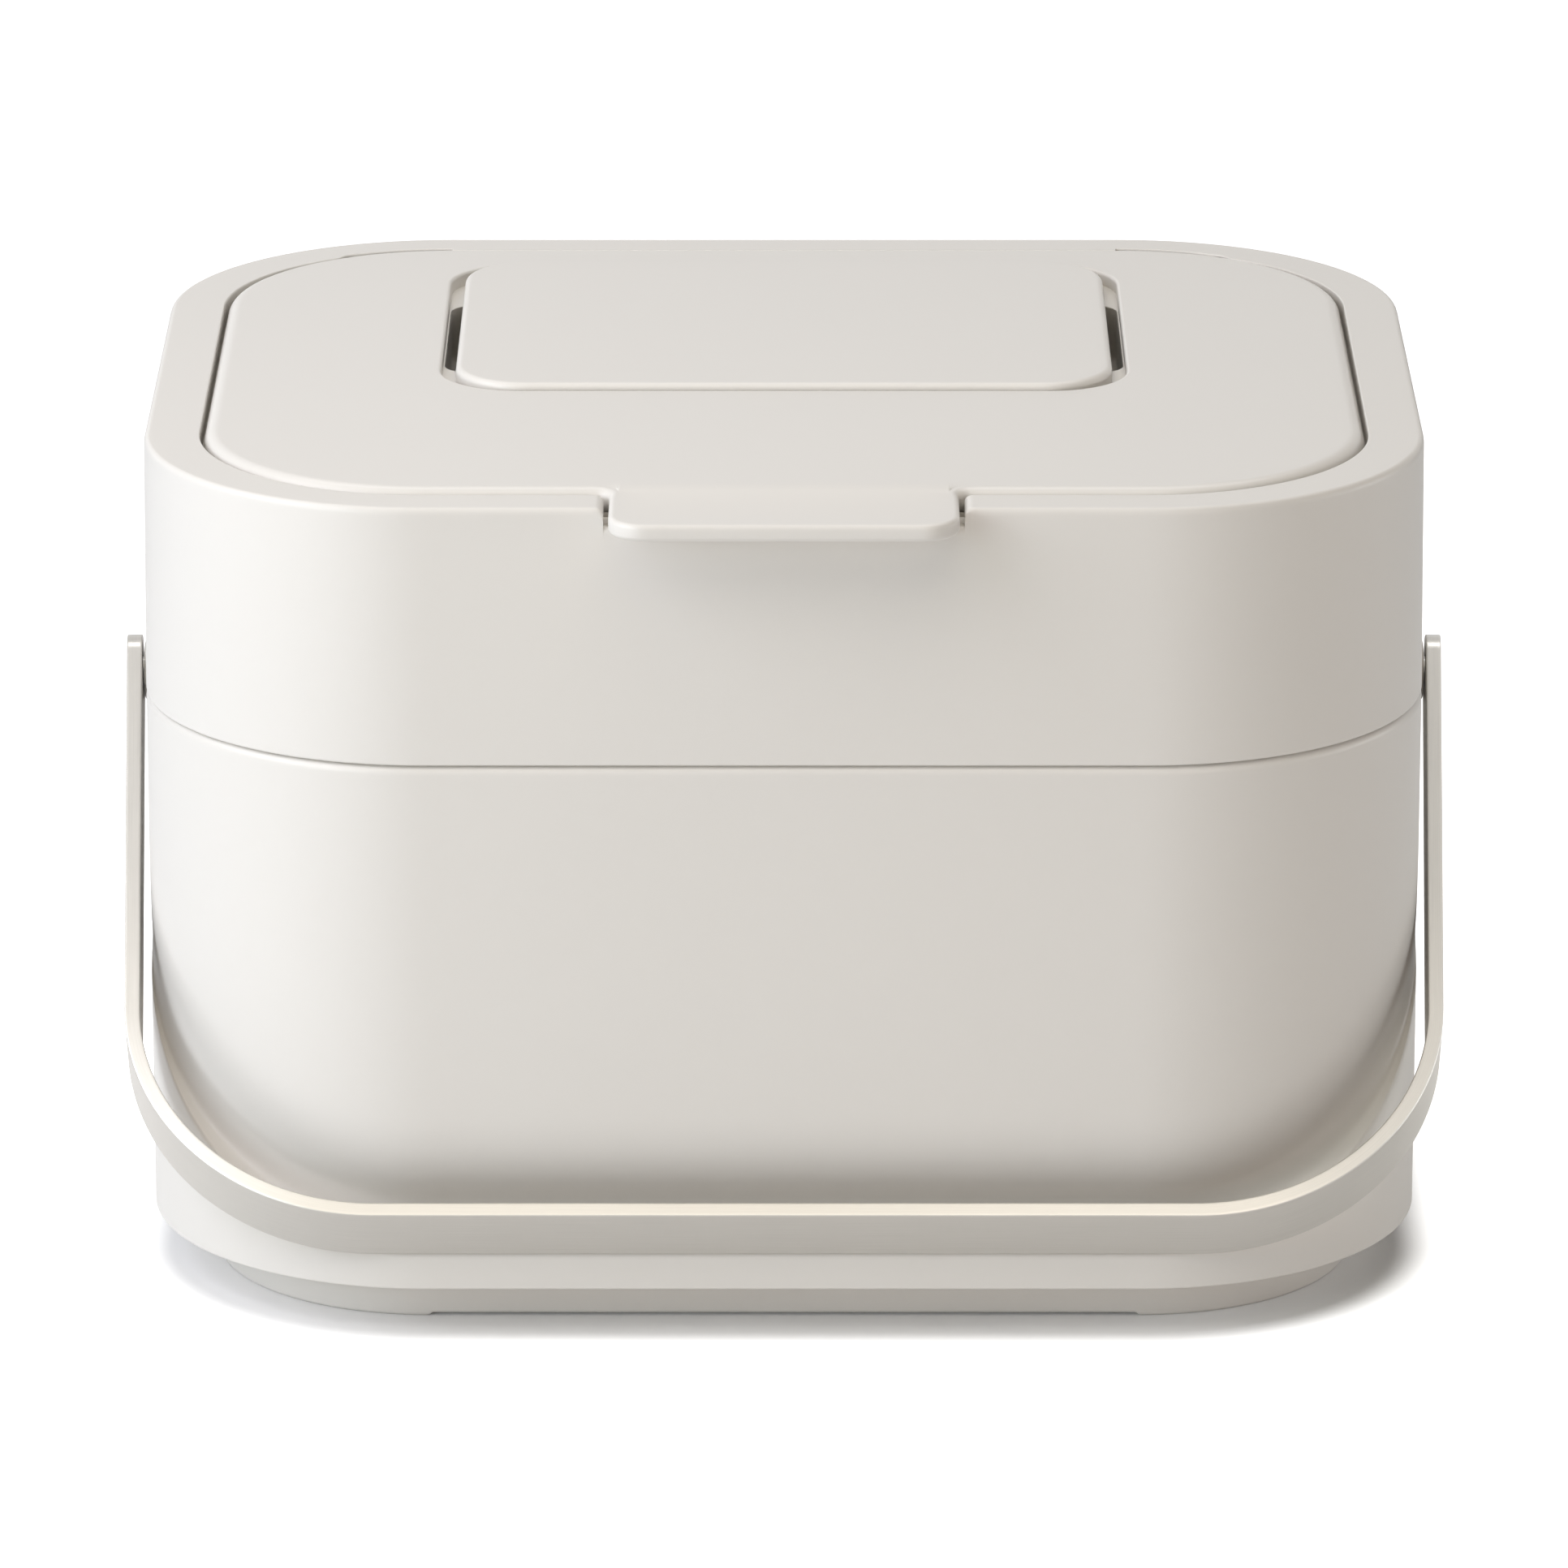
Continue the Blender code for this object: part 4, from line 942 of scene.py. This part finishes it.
seat_path = np.array([
    (RIVET_FACE + SEAT_CUT_OUT, RIVET_HEAD + RIVET_CLEAR),
    (RIVET_FACE, RIVET_HEAD + RIVET_CLEAR),
    (RIVET_FACE - RIVET_HEAD_DEEP, RIVET_SHANK + RIVET_CLEAR),
    (RIVET_FACE - SEAT_CUT_IN, RIVET_SHANK + RIVET_CLEAR),
])[::-1]
combine(strap, [
    turned("rivet_seat_right", seat_path, 0.0, PIVOT_Z, 64),
    turned("rivet_seat_left", seat_path[::-1] * (-1, 1), 0.0, PIVOT_Z, 64),
], keep=50.0)


def brushed_steel(name, colour):
    """Stainless strip brushed lengthways: long fine scratches that ripple its gloss and tone.

    Noise is stretched a hundredfold along the strip's own length, given by its grain map.
    """
    material, nodes, links, shader = start_material(name)
    shader.inputs["Metallic"].default_value = 1.0
    grain = nodes.new("ShaderNodeUVMap")
    grain.uv_map = "grain"
    stretch = nodes.new("ShaderNodeMapping")
    stretch.inputs["Scale"].default_value = (45.0, 5200.0, 1.0)
    links.new(grain.outputs["UV"], stretch.inputs["Vector"])
    lines = nodes.new("ShaderNodeTexNoise")
    lines.inputs["Scale"].default_value = 1.0
    lines.inputs["Detail"].default_value = 4.0
    links.new(stretch.outputs["Vector"], lines.inputs["Vector"])
    tone = nodes.new("ShaderNodeMix")
    shades(tone, colour, 0.87, 1.11)
    links.new(lines.outputs["Fac"], tone.inputs["Factor"])
    links.new(tone.outputs["Result"], shader.inputs["Base Color"])
    gloss = nodes.new("ShaderNodeMapRange")
    gloss.inputs["To Min"].default_value = 0.3
    gloss.inputs["To Max"].default_value = 0.46
    links.new(lines.outputs["Fac"], gloss.inputs["Value"])
    links.new(gloss.outputs["Result"], shader.inputs["Roughness"])
    along = nodes.new("ShaderNodeTangent")
    along.direction_type = "UV_MAP"
    along.uv_map = "grain"
    links.new(along.outputs["Tangent"], shader.inputs["Tangent"])
    shader.inputs["Anisotropic"].default_value = 0.8
    shader.inputs["Anisotropic Rotation"].default_value = 0.25
    bump = nodes.new("ShaderNodeBump")
    bump.inputs["Strength"].default_value = 0.35
    bump.inputs["Distance"].default_value = 0.00003
    links.new(lines.outputs["Fac"], bump.inputs["Height"])
    links.new(bump.outputs["Normal"], shader.inputs["Normal"])
    return material


strap.data.materials.append(brushed_steel("strap_steel", STRAP_STEEL))
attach(strap, "handle")
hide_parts("handle_strap")

# The handle's fixings on each side: the steel rivet, a moulded bush that holds the arm off the
# pail, and a steel washer under the rivet's closed head inside the pail.
BUSH_RADIUS = 6.8
WASHER_RADIUS = 6.0
WASHER_THICK = 1.0
BORE_RADIUS = 3.4
CLOSED_HEAD = 4.6
CLOSED_HEAD_THICK = 1.6
SEATING = 0.3
BUSH_COLOUR = (0.70, 0.68, 0.645)
INSIDE = BODY_HALF[0] - WALL
bush_in = BODY_HALF[0] + SEATING
bush_out = ARM_FACE - 2 * STRIP_HALF[0] - math.tan(LEAN) * BUSH_RADIUS - SEATING
washer_out = INSIDE - SEATING
washer_in = washer_out - WASHER_THICK
closed_head_x = washer_in - SEATING
rivet_end = closed_head_x - CLOSED_HEAD_THICK

rivet_path = rounded_path([
    (rivet_end, END_MIDDLE, 0), (rivet_end, RIVET_SHANK, 0.5),
    (closed_head_x, CLOSED_HEAD, 0.3), (closed_head_x, RIVET_SHANK, 0),
    (RIVET_FACE - RIVET_HEAD_DEEP, RIVET_SHANK, 0),
    (RIVET_FACE, RIVET_HEAD, 0.25), (RIVET_FACE, END_MIDDLE, 0),
], steps=3, hold=0.15)
bush_path = rounded_path([
    (bush_in, BORE_RADIUS, 0), (bush_out, BORE_RADIUS, 0), (bush_out, BUSH_RADIUS, 0.4),
    (bush_in, BUSH_RADIUS, 0.4), (bush_in, BORE_RADIUS + 0.1, 0),
], steps=3, hold=0.15)[::-1]
washer_path = rounded_path([
    (washer_in, BORE_RADIUS, 0), (washer_out, BORE_RADIUS, 0), (washer_out, WASHER_RADIUS, 0.2),
    (washer_in, WASHER_RADIUS, 0.2), (washer_in, BORE_RADIUS + 0.1, 0),
], steps=3, hold=0.1)[::-1]
bush_plastic = moulded_plastic("bush_plastic", BUSH_COLOUR, 0.4)
fixings = (
    ("rivet", rivet_path, False, fixing_steel, "handle", "pin_steel"),
    ("spacer", bush_path, True, bush_plastic, "pail", "spacer_plastic"),
    ("washer", washer_path, True, fixing_steel, "pail", "pin_steel"),
)
for side, label in ((-1, "left"), (1, "right")):
    for kind, path, hollow, material, body, slot_name in fixings:
        here = path if side > 0 else path[::-1] * (-1, 1)
        piece = turned(f"{kind}_{label}", here, 0.0, PIVOT_Z, 64, closed=hollow)
        piece.data.materials.append(material)
        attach(piece, body)
        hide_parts(f"handle_{kind}_{label}")

# The studio: a plain white floor that keeps the caddy's soft shadow, and seven soft boxes. The
# strongest stands high on the left, and weaker ones fill the front, the right side and the top.
# The white background shows, also in gloss, and gives no light of its own to matt surfaces.
FLOOR_SPAN = 9.0
FLOOR_GREY = 0.9
FLOOR_GLOW = 0.03
FLOOR_IN_GLOSS = 0.17
GLOW_FROM = -4.5
GLOW_TO = 9.0
LAMP_AIM = (0.0, 0.0073, 0.1)
CAMERA_PLACE = (0.0, -2.2685, 0.8111)
CAMERA_DOWN = 17.567
CAMERA_LENS = 242.858


def seen_directly(tree):
    """1 for rays from the camera, off gloss or through glass, and 0 for light that spreads."""
    path = tree.nodes.new("ShaderNodeLightPath")
    first = tree.nodes.new("ShaderNodeMath")
    first.operation = "MAXIMUM"
    tree.links.new(path.outputs["Is Camera Ray"], first.inputs[0])
    tree.links.new(path.outputs["Is Glossy Ray"], first.inputs[1])
    second = tree.nodes.new("ShaderNodeMath")
    second.operation = "MAXIMUM"
    tree.links.new(first.outputs["Value"], second.inputs[0])
    tree.links.new(path.outputs["Is Transmission Ray"], second.inputs[1])
    return second.outputs["Value"]


def vector_step(tree, operation, before, second=None):
    """One step of vector arithmetic on the socket before it, with a fixed second vector."""
    step = tree.nodes.new("ShaderNodeVectorMath")
    step.operation = operation
    tree.links.new(before, step.inputs[0])
    if second is not None:
        step.inputs[1].default_value = second
    return step


corner_signs = np.array([(-1, -1, 0), (1, -1, 0), (1, 1, 0), (-1, 1, 0)])
floor_mesh = bpy.data.meshes.new("floor")
floor_mesh.from_pydata(FLOOR_SPAN * corner_signs, [], [(0, 1, 2, 3)])
floor = bpy.data.objects.new("floor", floor_mesh)
bpy.context.scene.collection.objects.link(floor)
floor_paint = bpy.data.materials.new("floor_paint")
floor_paint.use_nodes = True
tree = floor_paint.node_tree
tree.nodes.clear()
matt = tree.nodes.new("ShaderNodeBsdfDiffuse")
matt.inputs["Color"].default_value = (FLOOR_GREY, FLOOR_GREY, FLOOR_GREY, 1.0)
glow = tree.nodes.new("ShaderNodeEmission")
glow.inputs["Color"].default_value = (1.0, 1.0, 1.0, 1.0)
place = tree.nodes.new("ShaderNodeTexCoord")

# Distance from the rounded rectangle's core: the place is folded into one corner by its absolute
# value, the core's half size is taken off, and what is left outside has that length.
core = ((BODY_HALF[0] - BODY_CORNER) * MM, (BODY_HALF[1] - BODY_CORNER) * MM, 0.0)
middle = (0.0, BODY_MIDDLE_Y * MM, 0.0)
from_middle = vector_step(tree, "SUBTRACT", place.outputs["Object"], middle)
one_corner = vector_step(tree, "ABSOLUTE", from_middle.outputs["Vector"])
past_core = vector_step(tree, "SUBTRACT", one_corner.outputs["Vector"], core)
outside = vector_step(tree, "MAXIMUM", past_core.outputs["Vector"], (0.0, 0.0, 0.0))
away = vector_step(tree, "LENGTH", outside.outputs["Vector"])
whiter = tree.nodes.new("ShaderNodeMapRange")
whiter.interpolation_type = "SMOOTHSTEP"
whiter.inputs["From Min"].default_value = (BODY_CORNER + GLOW_FROM) * MM
whiter.inputs["From Max"].default_value = (BODY_CORNER + GLOW_TO) * MM
whiter.inputs["To Min"].default_value = FLOOR_GLOW
whiter.inputs["To Max"].default_value = 1.0
tree.links.new(away.outputs["Value"], whiter.inputs["Value"])
shown = tree.nodes.new("ShaderNodeMath")
shown.operation = "MULTIPLY"
tree.links.new(whiter.outputs["Result"], shown.inputs[1])
ray = tree.nodes.new("ShaderNodeLightPath")
in_gloss = tree.nodes.new("ShaderNodeMath")
in_gloss.operation = "MULTIPLY_ADD"
in_gloss.inputs[1].default_value = FLOOR_IN_GLOSS
tree.links.new(ray.outputs["Is Glossy Ray"], in_gloss.inputs[0])
tree.links.new(ray.outputs["Is Camera Ray"], in_gloss.inputs[2])
tree.links.new(in_gloss.outputs["Value"], shown.inputs[0])
tree.links.new(shown.outputs["Value"], glow.inputs["Strength"])
both = tree.nodes.new("ShaderNodeAddShader")
tree.links.new(matt.outputs["BSDF"], both.inputs[0])
tree.links.new(glow.outputs["Emission"], both.inputs[1])
surface = tree.nodes.new("ShaderNodeOutputMaterial")
tree.links.new(both.outputs["Shader"], surface.inputs["Surface"])
floor.data.materials.append(floor_paint)

world = bpy.data.worlds.new("studio")
world.use_nodes = True
tree = world.node_tree
background = tree.nodes["Background"]
background.inputs["Strength"].default_value = 1.0
sky = tree.nodes.new("ShaderNodeMix")
sky.data_type = "RGBA"
sky.inputs["A"].default_value = (0.0, 0.0, 0.0, 1.0)
sky.inputs["B"].default_value = (1.0, 1.0, 1.0, 1.0)
tree.links.new(seen_directly(tree), sky.inputs["Factor"])
tree.links.new(sky.outputs["Result"], background.inputs["Color"])
bpy.context.scene.world = world


def soft_box(name, azimuth, elevation, distance, width, height, power, colour=(1.0, 1.0, 1.0)):
    """A soft box aimed at the caddy's middle. Azimuth 0 is in front, and 90 on the right.

    Its direction is (sin, -cos) of the azimuth times the cosine of its elevation, and the sine.
    """
    lamp = bpy.data.lights.new(name, "AREA")
    lamp.shape = "RECTANGLE"
    lamp.size = width
    lamp.size_y = height
    lamp.energy = power
    lamp.color = colour
    item = bpy.data.objects.new(name, lamp)
    turn_round = math.radians(azimuth)
    rise = math.radians(elevation)
    flat_part = math.cos(rise)
    towards = Vector((
        math.sin(turn_round) * flat_part, -math.cos(turn_round) * flat_part, math.sin(rise),
    ))
    item.location = Vector(LAMP_AIM) + distance * towards
    item.rotation_euler = towards.to_track_quat("Z", "Y").to_euler()
    bpy.context.scene.collection.objects.link(item)
    return item


# Azimuth, elevation and distance; width and height in metres; watts; colour.
soft_box("key", -65.0, 35.0, 1.2, 0.9, 0.9, 10.7, (0.92, 0.932, 1.0))
soft_box("front left", -40.0, 12.0, 1.3, 0.6, 0.4, 3.75, (0.84, 0.96, 1.0))
soft_box("front right", 20.0, 10.0, 1.6, 0.6, 0.4, 2.3, (1.0, 0.8, 0.69))
soft_box("right", 95.0, 15.0, 1.2, 0.9, 0.9, 0.55, (1.0, 0.9, 0.8))
soft_box("low right", 90.0, 6.0, 1.1, 0.9, 0.2, 2.35, (0.94, 0.98, 1.0))
soft_box("top", 0.0, 60.0, 1.2, 0.9, 0.9, 3.9, (1.0, 0.92, 0.77))
soft_box("overhead strip", 180.0, 72.0, 1.1, 1.1, 0.3, 3.6)

camera_data = bpy.data.cameras.new("camera")
camera_data.lens = CAMERA_LENS
camera_data.sensor_width = 36.0
camera_data.clip_end = 50.0
camera = bpy.data.objects.new("camera", camera_data)
camera.location = CAMERA_PLACE
camera.rotation_euler = (math.radians(90.0 - CAMERA_DOWN), 0.0, 0.0)
bpy.context.scene.collection.objects.link(camera)
bpy.context.scene.camera = camera
bpy.context.scene.view_settings.view_transform = "Standard"
